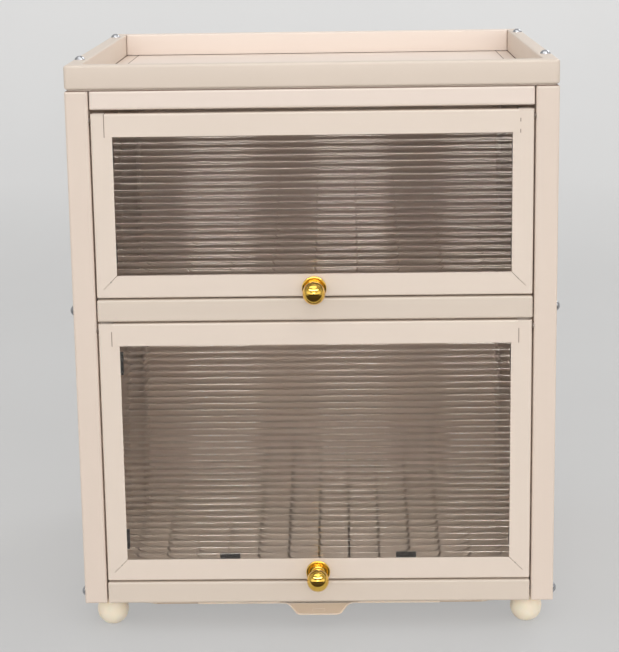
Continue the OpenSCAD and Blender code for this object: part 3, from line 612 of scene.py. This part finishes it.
def make_reeded_tree():
    """A sheet with half-round ribs across its front: a fine grid is bulged, then given its plate."""
    tree, given, result = geometry_tree("reeded sheet", [
        ("Width", "Float", 0.3), ("Height", "Float", 0.2), ("Plate", "Float", 0.002),
        ("Rib Height", "Float", 0.0007), ("Ribs", "Int", 20), ("Steps", "Int", 10),
        ("Corner", "Vector", None), ("Finish", "Material", None)])
    rows = calculate(tree, "MULTIPLY_ADD", given["Ribs"], given["Steps"], 1)
    grid = step(tree, "GeometryNodeMeshGrid", given["Width"], Size_Y=given["Height"],
                Vertices_X=2, Vertices_Y=rows)["Mesh"]
    spot = coordinates(tree, add_node(tree, "GeometryNodeInputPosition").outputs[0])
    pitch = calculate(tree, "DIVIDE", given["Height"], given["Ribs"])
    along = calculate(tree, "ADD", spot["Y"], times(tree, given["Height"], 0.5))
    turns = calculate(tree, "FRACT", calculate(tree, "DIVIDE", along, pitch))
    offset = times(tree, calculate(tree, "SUBTRACT", turns, 0.5), pitch)
    half_pitch = times(tree, pitch, 0.5)
    chord = times(tree, half_pitch, half_pitch)
    rise = times(tree, given["Rib Height"], given["Rib Height"])
    twice = times(tree, given["Rib Height"], 2.0)
    radius = calculate(tree, "DIVIDE", calculate(tree, "ADD", chord, rise), twice)
    inside = calculate(tree, "SUBTRACT", times(tree, radius, radius), times(tree, offset, offset))
    bulge = calculate(tree, "SUBTRACT", calculate(tree, "SQRT", inside),
                      calculate(tree, "SUBTRACT", radius, given["Rib Height"]))
    upright = step(tree, "ShaderNodeCombineXYZ", spot["X"], Z=along,
                   Y=calculate(tree, "SUBTRACT", given["Rib Height"], bulge))[0]
    front = step(tree, "GeometryNodeSetPosition", grid, Position=upright)[0]
    plate = step(tree, "GeometryNodeExtrudeMesh", front, Individual=False,
                 Offset_Scale=times(tree, given["Plate"], -1.0))
    level = coordinates(tree, add_node(tree, "GeometryNodeInputPosition").outputs[0])
    back_face = step(tree, "ShaderNodeCombineXYZ", level["X"], Z=level["Z"],
                     Y=calculate(tree, "ADD", given["Rib Height"], given["Plate"]))[0]
    flat = step(tree, "GeometryNodeSetPosition", plate["Mesh"], Selection=plate["Top"],
                Position=back_face)[0]
    turned = step(tree, "GeometryNodeFlipFaces", flat)[0]
    both = add_node(tree, "GeometryNodeJoinGeometry")
    feed(tree, both.inputs[0], turned)
    feed(tree, both.inputs[0], front)
    welded = step(tree, "GeometryNodeMergeByDistance", both.outputs[0], Distance=WELD)[0]
    seated = step(tree, "GeometryNodeTransform", welded, Translation=given["Corner"])[0]
    finish_tree(tree, seated, given["Finish"], result)
    return tree


def make_fastener_tree():
    """Sets one fastener on every point, turned to face the point's direction and spun at random."""
    tree, given, result = geometry_tree("set out fasteners", [
        ("Fastener", "Object", None), ("Spin", "Float", 3.14), ("Seed", "Int", 4),
        ("Finish", "Material", None)])
    facing = add_node(tree, "GeometryNodeInputNamedAttribute", data_type="FLOAT_VECTOR")
    facing.inputs["Name"].default_value = "facing"
    aimed = add_node(tree, "FunctionNodeAlignRotationToVector", axis="Z")
    feed(tree, aimed.inputs["Vector"], facing.outputs["Attribute"])
    chance = add_node(tree, "FunctionNodeRandomValue", data_type="FLOAT")
    chance.inputs[2].default_value = 0.0
    feed(tree, chance.inputs[3], given["Spin"])
    feed(tree, chance.inputs["Seed"], given["Seed"])
    spin = add_node(tree, "FunctionNodeAxisAngleToRotation")
    spin.inputs["Axis"].default_value = (0, 0, 1)
    feed(tree, spin.inputs["Angle"], chance.outputs[1])
    both = add_node(tree, "FunctionNodeRotateRotation", rotation_space="LOCAL")
    feed(tree, both.inputs["Rotation"], aimed.outputs[0])
    feed(tree, both.inputs["Rotate By"], spin.outputs[0])
    piece = step(tree, "GeometryNodeObjectInfo", given["Fastener"])["Geometry"]
    points = step(tree, "GeometryNodeMeshToPoints", given["Geometry"])[0]
    copies = step(tree, "GeometryNodeInstanceOnPoints", points, Instance=piece, Rotation=both.outputs[0])
    finish_tree(tree, copies[0], given["Finish"], result)
    return tree


REEDED_SHEET = make_reeded_tree()
FASTENERS = make_fastener_tree()


# Gallery rim: a U-shaped frame of folded sheet, and the rear rail between its ends

RIM_SHEET = 0.8 * MM
RIM_WIDTH = 12.5 * MM
RIM_FOOT = 9.0 * MM
RIM_LIFT = 1.0 * MM
RIM_WALL_GAP = 0.5 * MM
RIM_BEND = 2.2 * MM
RIM_INNER_BEND = 1.5 * MM
RIM_CORNER = 3.2 * MM
RIM_SLIT = 0.9 * MM
PACKING = (3.0 * MM, 8.6 * MM)
CORNER_STEPS = 6


def rim_section(height):
    """Closed outline of the folded sheet as (distance inwards, height) points."""
    bend = RIM_BEND
    inner = RIM_INNER_BEND
    t = RIM_SHEET
    outside = [(RIM_FOOT, RIM_LIFT)]
    outside += arc_points((bend, RIM_LIFT + bend), bend, 270, 180, 5)
    outside += arc_points((bend, height - bend), bend, 180, 90, 5)
    outside += arc_points((RIM_WIDTH - inner, height - inner), inner, 90, 0, 4)
    outside += [(RIM_WIDTH, RIM_WALL_GAP), (RIM_WIDTH - t, RIM_WALL_GAP)]
    inside = arc_points((RIM_WIDTH - inner, height - inner), inner - t, 0, 90, 4)
    inside += arc_points((bend, height - bend), bend - t, 90, 180, 5)
    inside += arc_points((bend, RIM_LIFT + bend), bend - t, 180, 270, 5)
    return outside + inside + [(RIM_FOOT, RIM_LIFT + t)]


def corner_place(low, high, right, rear, inwards, turn):
    """Where a line of the section passes a corner; turn is 0 on the side and 1 on the front or rear."""
    side_x = 1 if right else -1
    side_y = 1 if rear else -1
    corner = Vector((high.x if right else low.x, high.y if rear else low.y))
    if inwards >= RIM_CORNER:
        return corner - Vector((side_x, side_y)) * inwards
    centre = corner - Vector((side_x, side_y)) * RIM_CORNER
    angle = turn * math.pi / 2
    return centre + (RIM_CORNER - inwards) * Vector((side_x * math.cos(angle), side_y * math.sin(angle)))


def sweep_section(form, section, stations, low, high, base):
    """Skins a section through corner stations, each (right, rear, turn, shift), and caps its ends."""
    rings = []
    for right, rear, turn, shift in stations:
        ring = []
        for inwards, up in section:
            spot = corner_place(low, high, right, rear, inwards, turn)
            ring.append(form.verts.new((spot.x + shift[0], spot.y + shift[1], base + up)))
        rings.append(ring)
    skin_rings(form, rings)


def closed_form_to_mesh(form, name):
    """Welds the points that fell together, turns every face outwards and hands back the mesh."""
    bmesh.ops.remove_doubles(form, verts=form.verts, dist=WELD)
    bmesh.ops.dissolve_degenerate(form, edges=form.edges, dist=FINE_WELD)
    bmesh.ops.recalc_face_normals(form, faces=form.faces)
    return form_to_mesh(form, name)


def make_gallery():
    left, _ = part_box("gallery_left_rail")
    _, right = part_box("gallery_right_rail")
    front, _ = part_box("gallery_front_rail")
    _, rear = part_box("gallery_rear_rail")
    low = Vector((left.x, front.y, left.z))
    high = Vector((right.x, rear.y, right.z))
    section = rim_section(high.z - low.z)
    packing = [(PACKING[0], 0.0), (PACKING[1], 0.0), (PACKING[1], RIM_LIFT), (PACKING[0], RIM_LIFT)]
    half = [k / CORNER_STEPS / 2 for k in range(CORNER_STEPS + 1)]
    whole = [k / CORNER_STEPS for k in range(CORNER_STEPS + 1)]
    still = (0.0, 0.0)
    frame_path = [(False, True, turn, still) for turn in reversed(half)]
    frame_path += [(False, False, turn, still) for turn in whole]
    frame_path += [(True, False, turn, still) for turn in reversed(whole)]
    frame_path += [(True, True, turn, still) for turn in half]
    rear_path = [(False, True, 0.5 + turn, (RIM_SLIT, 0.0)) for turn in half]
    rear_path += [(True, True, 0.5 + turn, (-RIM_SLIT, 0.0)) for turn in reversed(half)]
    three_rails = ["gallery_front_rail", "gallery_left_rail", "gallery_right_rail"]
    for name, path, replaced, finish in (("gallery_frame", frame_path, three_rails, "rim"),
                                         ("gallery_rear", rear_path, ["gallery_rear_rail"], "top")):
        form = bmesh.new()
        sweep_section(form, section, path, low, high, low.z)
        sweep_section(form, packing, path, low, high, low.z)
        keep_piece(name, closed_form_to_mesh(form, name), "cabinet", replaced, finish)


# Drip tray: the moulded pan with a finger tab whose edge is beaded

TAB_TOP_W = 53 * MM
TAB_LOW_W = 36.5 * MM
TAB_TALL = 10.6 * MM
TAB_FILLET = 7 * MM
TAB_CORNER = 6.5 * MM
TAB_SHEET = 1.2 * MM
TAB_ROOT = 1.0 * MM
TAB_SET_BACK = 0.5 * MM
TAB_BEAD = [(0.0, TAB_SHEET), (0.0, 0.35 * MM), (0.3 * MM, -0.3 * MM), (0.8 * MM, -0.5 * MM),
            (1.25 * MM, -0.3 * MM), (1.5 * MM, 0.5 * MM)]
TAB_GRIP = Vector((10.6 * MM, 0.8 * MM, 2.6 * MM))
TAB_GRIP_Z = 4.6 * MM
TAB_GRIP_ROUND = 0.2 * MM
LIP_UNDER_Z = 22.8 * MM
OLD_TAB_X = 45 * MM
OLD_TAB_Y = (-0.72 * MM, 2.88 * MM)
OLD_TAB_Z = -20 * MM
BROAD_FACE = 60 * MM * MM
SUNK_FACE = 15 * MM * MM


def rounded_path(points, radii, steps=6):
    """A polyline whose inner corners are rounded to the radii given."""
    path = [Vector(points[0])]
    for before, corner, after, radius in zip(points, points[1:], points[2:], radii):
        corner = Vector(corner)
        back = (Vector(before) - corner).normalized()
        on = (Vector(after) - corner).normalized()
        half_angle = back.angle(on) / 2
        reach = radius / math.tan(half_angle)
        centre = corner + (back + on).normalized() * (radius / math.sin(half_angle))
        start = corner + back * reach - centre
        end = corner + on * reach - centre
        sweep = start.angle_signed(end)
        for k in range(steps + 1):
            turn = Matrix.Rotation(-sweep * k / steps, 2)
            path.append(centre + turn @ start)
    path.append(Vector(points[-1]))
    return path


def tab_outline():
    """Outline of the tab from its left shoulder, down and round to its right one, as (x, z) points."""
    top = TAB_TOP_W / 2
    low = TAB_LOW_W / 2
    shoulder = top + TAB_FILLET
    points = [(-shoulder, 0.0), (-top, 0.0), (-low, -TAB_TALL),
              (low, -TAB_TALL), (top, 0.0), (shoulder, 0.0)]
    return rounded_path(points, [TAB_FILLET, TAB_CORNER, TAB_CORNER, TAB_FILLET])


def inset_outline(path, inset):
    """Moves an open outline inwards; its first and last points only move sideways along the lip."""
    moved = []
    for k, point in enumerate(path):
        before = path[max(k - 1, 0)]
        after = path[min(k + 1, len(path) - 1)]
        along = (after - before).normalized()
        moved.append(point + Vector((-along.y, along.x)) * inset)
    return moved


def make_tab(form, front_y, root_z):
    """A dished tab: flat back, rounded bead round the edge, and a sunk face with a raised grip."""
    outline = tab_outline()
    rings = []
    for inset, depth in TAB_BEAD:
        ring = inset_outline(outline, inset)
        rim = [form.verts.new((p.x, front_y + depth, root_z + p.y)) for p in ring]
        rim.append(form.verts.new((ring[-1].x, front_y + depth, root_z + TAB_ROOT)))
        rim.append(form.verts.new((ring[0].x, front_y + depth, root_z + TAB_ROOT)))
        rings.append(rim)
    skin_rings(form, rings)
    middle = Vector((0.0, front_y + TAB_BEAD[-1][1], root_z - TAB_TALL + TAB_GRIP_Z))
    grip = add_box(form, middle - TAB_GRIP / 2, middle + TAB_GRIP / 2)
    edges = list({edge for v in grip for edge in v.link_edges})
    bmesh.ops.bevel(form, geom=edges, offset=TAB_GRIP_ROUND, segments=2, affect="EDGES")


def make_drip_tray():
    """The CAD's pan with its plain tab cut away and the beaded one in its place."""
    low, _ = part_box("drip_tray")
    merged = bmesh.new()
    merged.from_mesh(nodes["drip_tray"].data)
    bmesh.ops.remove_doubles(merged, verts=merged.verts, dist=FINE_WELD)
    pan = linked_object("pan copy", form_to_mesh(merged, "pan copy"))
    cutter = bmesh.new()
    add_box(cutter, (-OLD_TAB_X, low.y + OLD_TAB_Y[0], LIP_UNDER_Z + OLD_TAB_Z),
            (OLD_TAB_X, low.y + OLD_TAB_Y[1], LIP_UNDER_Z))
    mesh = cut_out(pan, cutter)
    bpy.data.objects.remove(pan)
    tab = bmesh.new()
    make_tab(tab, low.y + TAB_SET_BACK, LIP_UNDER_Z)
    bmesh.ops.recalc_face_normals(tab, faces=tab.faces)
    form = bmesh.new()
    form.from_mesh(mesh)
    form.from_mesh(form_to_mesh(tab, "tab"))
    form.to_mesh(mesh)
    form.free()
    keep_piece("drip_tray_moulding", mesh, "drip_tray", ["drip_tray"],
               "tray", math.radians(30))
    # Painted shade: the broad front faces of the tab's sunk face take the darker copy of the plastic.
    mesh.materials.append(FINISHES["tab"])
    for face in mesh.polygons:
        if face.area > BROAD_FACE:
            face.use_smooth = False
        if face.normal.y < -0.99 and face.center.z < LIP_UNDER_Z and face.area > SUNK_FACE:
            face.material_index = 1


# Reeded panels in the doors

RIB_PITCH = 5.7 * MM
RIB_HEIGHT = 0.7 * MM
RIB_STEPS = 12
PANEL_PLAY = 0.05 * MM


def make_reeded_panel(door):
    low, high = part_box(f"{door}_panel")
    # The upper door takes the darker copy of the acrylic.
    finish = FINISHES["smoked" if door == "upper_door" else "acrylic"]
    mesh = grow(
        REEDED_SHEET, bpy.data.meshes.new("carrier"),
        Width=high.x - low.x - 2 * PANEL_PLAY, Height=high.z - low.z - 2 * PANEL_PLAY,
        Plate=high.y - low.y - RIB_HEIGHT - 2 * PANEL_PLAY, Rib_Height=RIB_HEIGHT,
        Ribs=math.ceil((high.z - low.z) / RIB_PITCH), Steps=RIB_STEPS,
        Corner=(0.0, low.y + PANEL_PLAY, low.z + PANEL_PLAY), Finish=finish)
    keep_piece(f"{door}_reeded_panel", mesh, door, [f"{door}_panel"])


# Domed screws with a cross recess and a real thread

def screw_object(name, head_d, head_h, shank_d, length, pitch=0.7 * MM, steps=28):
    """A screw whose head stands on z = 0 and looks along +Z, with its shank along -Z."""
    rim = 0.35 * MM
    dome_h = head_h - rim
    dome_r = (head_d ** 2 / 4 + dome_h ** 2) / (2 * dome_h)
    half_angle = math.degrees(math.asin(head_d / 2 / dome_r))
    dome = arc_points((0, head_h - dome_r), dome_r, 90, 90 - half_angle, 10)
    head = turned_form([(0, head_h)] + dome[1:] + [(head_d / 2, 0), (0, 0)], steps)
    holder = linked_object(name, form_to_mesh(head, name + "_head"))
    holder.data = cut_out(holder, cross_recess(head_d, head_h), use_self=True)
    form = bmesh.new()
    form.from_mesh(holder.data)
    add_thread(form, shank_d / 2, length, pitch, steps)
    form.to_mesh(holder.data)
    form.free()
    return holder


def cross_recess(head_d, head_h):
    """The tapered cross that a driver fits, as a form to cut out of the head."""
    wide = 0.5 * head_d
    deep = 0.62 * head_h
    arm = 0.13 * head_d
    cutter = bmesh.new()
    for turn in (0, math.pi / 2):
        for v in bmesh.ops.create_cube(cutter, size=1.0)["verts"]:
            at_tip = v.co.z < 0
            v.co = Vector((v.co.x * wide * (0.45 if at_tip else 1.25),
                           v.co.y * arm * (0.7 if at_tip else 1.2),
                           head_h + (-deep if at_tip else 0.2 * head_h)))
            v.co.rotate(Matrix.Rotation(turn, 3, "Z"))
    return cutter


def add_thread(form, radius, length, pitch, steps):
    """A threaded shank: a skin whose radius follows a helix, closed at both ends."""
    depth = 0.54 * pitch
    rows = int(length / pitch * 4)
    rings = []
    for row in range(rows + 1):
        height = -length * row / rows
        run_out = min(1.0, row / 4, (rows - row) / 4)
        phases = [(height / pitch - k / steps) % 1.0 for k in range(steps)]
        radii = [radius - depth * (1 - abs(2 * phase - 1)) * run_out for phase in phases]
        rings.append(add_ring(form, radii, height))
    skin_rings(form, rings)


def points_carrier(places):
    """A mesh of loose points, each with the direction that its fastener faces."""
    mesh = bpy.data.meshes.new("fastener places")
    mesh.from_pydata([place for place, _ in places], [], [])
    facing = mesh.attributes.new("facing", "FLOAT_VECTOR", "POINT")
    for item, (_, direction) in zip(facing.data, places):
        item.vector = direction
    return mesh


SCREW_HEAD_D = 8.8 * MM
SCREW_HEAD_H = 3.2 * MM
SCREW_SHANK_D = 4.0 * MM
KNOB_SCREW_HEAD_D = 7.0 * MM
KNOB_SCREW_HEAD_H = 2.6 * MM


def set_screws(name, body, replaced, places, head_d, head_h, length):
    fastener = screw_object(name + "_pattern", head_d, head_h, SCREW_SHANK_D, length)
    mesh = grow(FASTENERS, points_carrier(places), Fastener=fastener, Spin=math.pi / 2, Seed=len(name),
                Finish=FINISHES["zinc"])
    bpy.data.objects.remove(fastener)
    keep_piece(name, mesh, body, replaced)


def make_gallery_screws():
    low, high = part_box("gallery_screws")
    inset = SCREW_HEAD_D / 2
    places = [(Vector((x, y, high.z - SCREW_HEAD_H)), Vector((0, 0, 1)))
              for x in (low.x + inset, high.x - inset) for y in (low.y + inset, high.y - inset)]
    set_screws("gallery_screw_set", "cabinet", ["gallery_screws"], places,
               SCREW_HEAD_D, SCREW_HEAD_H, high.z - low.z - SCREW_HEAD_H)


def make_side_screws():
    low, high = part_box("side_screws")
    inset = SCREW_HEAD_D / 2
    inner_end = min(v.co.x for v in nodes["side_screws"].data.vertices if v.co.x > 0)
    places = [(Vector((side * (high.x - SCREW_HEAD_H), y, z)), Vector((side, 0, 0)))
              for side in (-1, 1) for y in (low.y + inset, high.y - inset)
              for z in (low.z + inset, high.z - inset)]
    set_screws("side_screw_set", "cabinet", ["side_screws"], places, SCREW_HEAD_D, SCREW_HEAD_H,
               high.x - SCREW_HEAD_H - inner_end)


def make_knob_screw(door):
    low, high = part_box(f"{door}_knob_screw")
    middle = (low + high) / 2
    place = Vector((middle.x, high.y - KNOB_SCREW_HEAD_H, middle.z))
    set_screws(f"{door}_knob_fixing", door, [f"{door}_knob_screw"], [(place, Vector((0, 1, 0)))],
               KNOB_SCREW_HEAD_D, KNOB_SCREW_HEAD_H, high.y - low.y - KNOB_SCREW_HEAD_H)


# Turned knobs

KNOB_BOSS_H = 0.3 * MM
KNOB_BOSS_D = 12 * MM
KNOB_BASE_T = 2.4 * MM
KNOB_COLLAR_T = 2.6 * MM
KNOB_BALL_D = 18.5 * MM
KNOB_COLLAR_D = 12.5 * MM
KNOB_NECK_D = 7 * MM


def knob_profile(base_d, reach):
    """From the axis at the door, out round the boss, base, collar and neck, and over the ball."""
    ball_r = KNOB_BALL_D / 2
    ball_z = reach - ball_r
    neck_r = KNOB_NECK_D / 2
    boss_r = KNOB_BOSS_D / 2
    collar_r = KNOB_COLLAR_D / 2
    base_bead = KNOB_BASE_T / 2
    collar_bead = KNOB_COLLAR_T / 2
    base_top = KNOB_BOSS_H + KNOB_BASE_T
    base_edge = (base_d / 2 - base_bead, KNOB_BOSS_H + base_bead)
    collar_edge = (collar_r - collar_bead, base_top + collar_bead)
    neck_angle = math.degrees(math.acos(neck_r / ball_r))
    points = [(0, 0), (boss_r, 0), (boss_r, KNOB_BOSS_H)]
    points += arc_points(base_edge, base_bead, -90, 90, 14)
    points += [(collar_r + 1.3 * MM, base_top), (collar_r + 0.9 * MM, base_top - 0.25 * MM),
               (collar_r + 0.4 * MM, base_top - 0.25 * MM), (collar_r - 0.3 * MM, base_top)]
    points += arc_points(collar_edge, collar_bead, -75, 90, 12)
    points += arc_points((neck_r + 1.2 * MM, base_top + KNOB_COLLAR_T + 1.2 * MM), 1.2 * MM, 270, 180, 6)
    points += arc_points((0, ball_z), ball_r, -neck_angle, 90, 40)[:-1]
    return points + [(0, reach)]


def make_knob(door):
    low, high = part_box(f"{door}_knob")
    middle = (low + high) / 2
    form = turned_form(knob_profile(high.x - low.x, high.y - low.y), 72)
    facing = Matrix.Rotation(math.radians(90), 4, "X")
    form.transform(Matrix.Translation((middle.x, high.y, middle.z)) @ facing)
    keep_piece(f"{door}_gold_knob", form_to_mesh(form, "gold knob"), door,
               [f"{door}_knob"], "gold", math.radians(50))


# Floor, backdrop and lamps

STUDIO_W = 28.0
FLOOR_FRONT = -14.0
SWEEP_START = 1.1
SWEEP_R = 1.2
SWEEP_STEPS = 24
WALL_TOP = 5.0
FLOOR_GLOW = ((0.0, 0.37), (0.02, 0.38), (0.12, 0.45), (0.45, 0.51))
FLOOR_SEEN = (0.20, 0.20, 0.199)
FLOOR_BOUNCE = (0.74, 0.72, 0.70)


def make_studio():
    """A floor that sweeps up into a wall behind the object; for the camera and in reflections its paper glows
    with painted light, more towards the top.
    """
    outline = [(FLOOR_FRONT, 0.0)]
    outline += [(SWEEP_START + SWEEP_R * math.sin(a), SWEEP_R - SWEEP_R * math.cos(a))
                for a in [math.pi / 2 * k / SWEEP_STEPS for k in range(SWEEP_STEPS + 1)]]
    outline += [(SWEEP_START + SWEEP_R, WALL_TOP)]
    sheet = bmesh.new()
    sides = [[sheet.verts.new((x, y, z)) for y, z in outline] for x in (-STUDIO_W / 2, STUDIO_W / 2)]
    for k in range(len(outline) - 1):
        sheet.faces.new((sides[0][k], sides[1][k], sides[1][k + 1], sides[0][k + 1]))
    mesh = form_to_mesh(sheet, "studio sweep")
    mesh.shade_smooth()
    finish, tree, shader, place = start_finish("studio paper")
    height = coordinates(tree, place)["Z"]
    glow = FLOOR_GLOW[0][1]
    for (low, dark), (high, light) in zip(FLOOR_GLOW, FLOOR_GLOW[1:]):
        glow = calculate(tree, "ADD", glow, ramp(tree, height, low, high, 0.0, light - dark))
    cloud = ramp(tree, noise(tree, place, 3.0, 3.0), 0.3, 0.7, 0.985, 1.015)
    rays = add_node(tree, "ShaderNodeLightPath").outputs
    # Painted light: camera, glossy and transmission rays see the paper glow, which also lightens the object's
    # shadow on it.
    shown = most_of(tree, rays["Is Camera Ray"], rays["Is Glossy Ray"], rays["Is Transmission Ray"])
    feed(tree, shader.inputs["Base Color"], blend_colours(tree, shown, FLOOR_BOUNCE, FLOOR_SEEN))
    shader.inputs["Emission Color"].default_value = (1.0, 0.998, 0.993, 1)
    feed(tree, shader.inputs["Emission Strength"], times(tree, times(tree, glow, cloud), shown))
    shader.inputs["Roughness"].default_value = 0.9
    mesh.materials.append(finish)
    sweep = linked_object("studio_sweep", mesh)


def add_softbox(name, place, aim, width, height, power, mirrored):
    data = bpy.data.lights.new(name, "AREA")
    data.shape = "RECTANGLE"
    data.size = width
    data.size_y = height
    data.energy = power
    lamp = linked_object(name, data)
    lamp.location = place
    lamp.rotation_euler = (Vector(aim) - Vector(place)).to_track_quat("-Z", "Y").to_euler()
    lamp.visible_glossy = mirrored


# Each soft box: name, place, the point it faces, width, height, watts, and whether reflections show it
SOFT_BOXES = tuple((f"front_lamp_{number}", (x, -2.6, 1.02), (x, 0.0, 0.3), 0.15, 0.3, 2.4, True)
                   for number, x in enumerate((-0.248, 0.042, 0.326)))
SOFT_BOXES += (
    ("front_window", (0.2, -2.7, 0.97), (0.0, 0.0, 0.25), 2.2, 0.17, 5.6, False),
    ("left_window", (-2.4, -1.4, 0.9), (0.0, 0.0, 0.25), 1.5, 0.17, 2, False),
    ("right_window", (2.4, -1.4, 0.9), (0.0, 0.0, 0.25), 1.5, 0.17, 2.6, False),
    ("front_sky", (0.6, -1.9, 2.5), (0.0, 0.0, 0.25), 2.6, 0.9, 9.6, True),
    ("overhead", (-0.2, -0.3, 2.6), (0.0, 0.0, 0.2), 2.4, 1.8, 20, True),
    ("rear_fill", (1.5, 1.5, 2.1), (0.0, 0.1, 0.25), 1.6, 1.0, 18, True))
DARK_CARDS = (("floor_card", (-1.7, -1.5, 0.004), (1.7, -0.235, 0.004)),
              ("low_card", (-1.9, -1.5, 0.005), (1.9, -1.5, 0.30)),
              ("camera_card", (-0.14, -1.75, 0.2), (0.2, -1.75, 0.66)),
              ("high_card", (-1.6, -2.2, 1.2), (1.6, -2.2, 1.8)))
BAND_RADIUS = 2.7
BAND_TURN = math.radians(62)
BAND_Z = (2.35, 3.0)
BAND_STEPS = 16
BAND_STRENGTH = 10.0
ROOM_BACKDROP = 0.60
ROOM_BAND = 1.0
ROOM_PLAIN = 0.31


def hang_for_mirrors(name, mesh, finish):
    """Hangs a studio sheet that only reflections show."""
    mesh.materials.append(finish)
    sheet = linked_object(name, mesh)
    sheet.visible_camera = False
    sheet.visible_diffuse = False
    sheet.visible_transmission = False
    sheet.visible_shadow = False


def make_dark_cards():
    """Cards that stand for the dark parts of a real room in the knobs."""
    finish, tree, shader, place = start_finish("dark card")
    feed(tree, shader.inputs["Base Color"],
         blend_colours(tree, noise(tree, place, 4.0), (0.020, 0.012, 0.008), (0.05, 0.03, 0.02)))
    shader.inputs["Roughness"].default_value = 0.9
    for name, low, high in DARK_CARDS:
        mesh = bpy.data.meshes.new(name)
        corners = [low, (high[0], low[1], low[2]), high, (low[0], high[1], high[2])]
        mesh.from_pydata(corners, [], [(0, 1, 2, 3)])
        hang_for_mirrors(name, mesh, finish)


def make_bright_band():
    """A wide bright band high at the front, as a row of windows would show in the knobs."""
    glow = bpy.data.materials.new("bright band")
    glow.use_nodes = True
    tree = glow.node_tree
    tree.nodes.clear()
    light = add_node(tree, "ShaderNodeEmission")
    light.inputs["Color"].default_value = (1.0, 0.98, 0.95, 1)
    light.inputs["Strength"].default_value = BAND_STRENGTH
    out = add_node(tree, "ShaderNodeOutputMaterial")
    tree.links.new(light.outputs["Emission"], out.inputs["Surface"])
    corners = []
    for k in range(BAND_STEPS + 1):
        turn = BAND_TURN * (2 * k / BAND_STEPS - 1)
        corners += [(BAND_RADIUS * math.sin(turn), -BAND_RADIUS * math.cos(turn), z) for z in BAND_Z]
    faces = [(2 * k, 2 * k + 2, 2 * k + 3, 2 * k + 1) for k in range(BAND_STEPS)]
    mesh = bpy.data.meshes.new("bright_band")
    mesh.from_pydata(corners, [], faces)
    hang_for_mirrors("bright_band", mesh, glow)


def make_room():
    """Even light all round, brighter in a low band at the front; the camera sees plain pale grey."""
    world = bpy.data.worlds.new("soft room")
    bpy.context.scene.world = world
    world.use_nodes = True
    tree = world.node_tree
    background = tree.nodes["Background"]
    towards = coordinates(tree, add_node(tree, "ShaderNodeTexCoord").outputs["Generated"])
    above = ramp(tree, towards["Z"], 0.02, 0.10)
    below = ramp(tree, towards["Z"], 0.38, 0.55, 1.0, 0.0)
    ahead = ramp(tree, towards["Y"], -0.5, 0.1, 1.0, 0.0)
    light = calculate(tree, "MULTIPLY_ADD", times(tree, times(tree, above, below), ahead),
                      ROOM_BAND, ROOM_PLAIN)
    rays = add_node(tree, "ShaderNodeLightPath").outputs
    shown = most_of(tree, rays["Is Camera Ray"], rays["Is Transmission Ray"])
    strength = add_node(tree, "ShaderNodeMix", data_type="FLOAT")
    feed(tree, strength.inputs[0], shown)
    feed(tree, strength.inputs[2], light)
    feed(tree, strength.inputs[3], ROOM_BACKDROP)
    feed(tree, background.inputs["Strength"], strength.outputs[0])
    background.inputs["Color"].default_value = (1.0, 0.99, 0.98, 1)


bpy.context.scene.view_settings.view_transform = "Standard"
set_up_camera()
paint_cad_nodes()
for door in DOORS:
    make_reeded_panel(door)
    make_knob(door)
    make_knob_screw(door)
make_gallery()
make_gallery_screws()
make_side_screws()
make_drip_tray()
make_studio()
for soft_box in SOFT_BOXES:
    add_softbox(*soft_box)
make_dark_cards()
make_bright_band()
make_room()
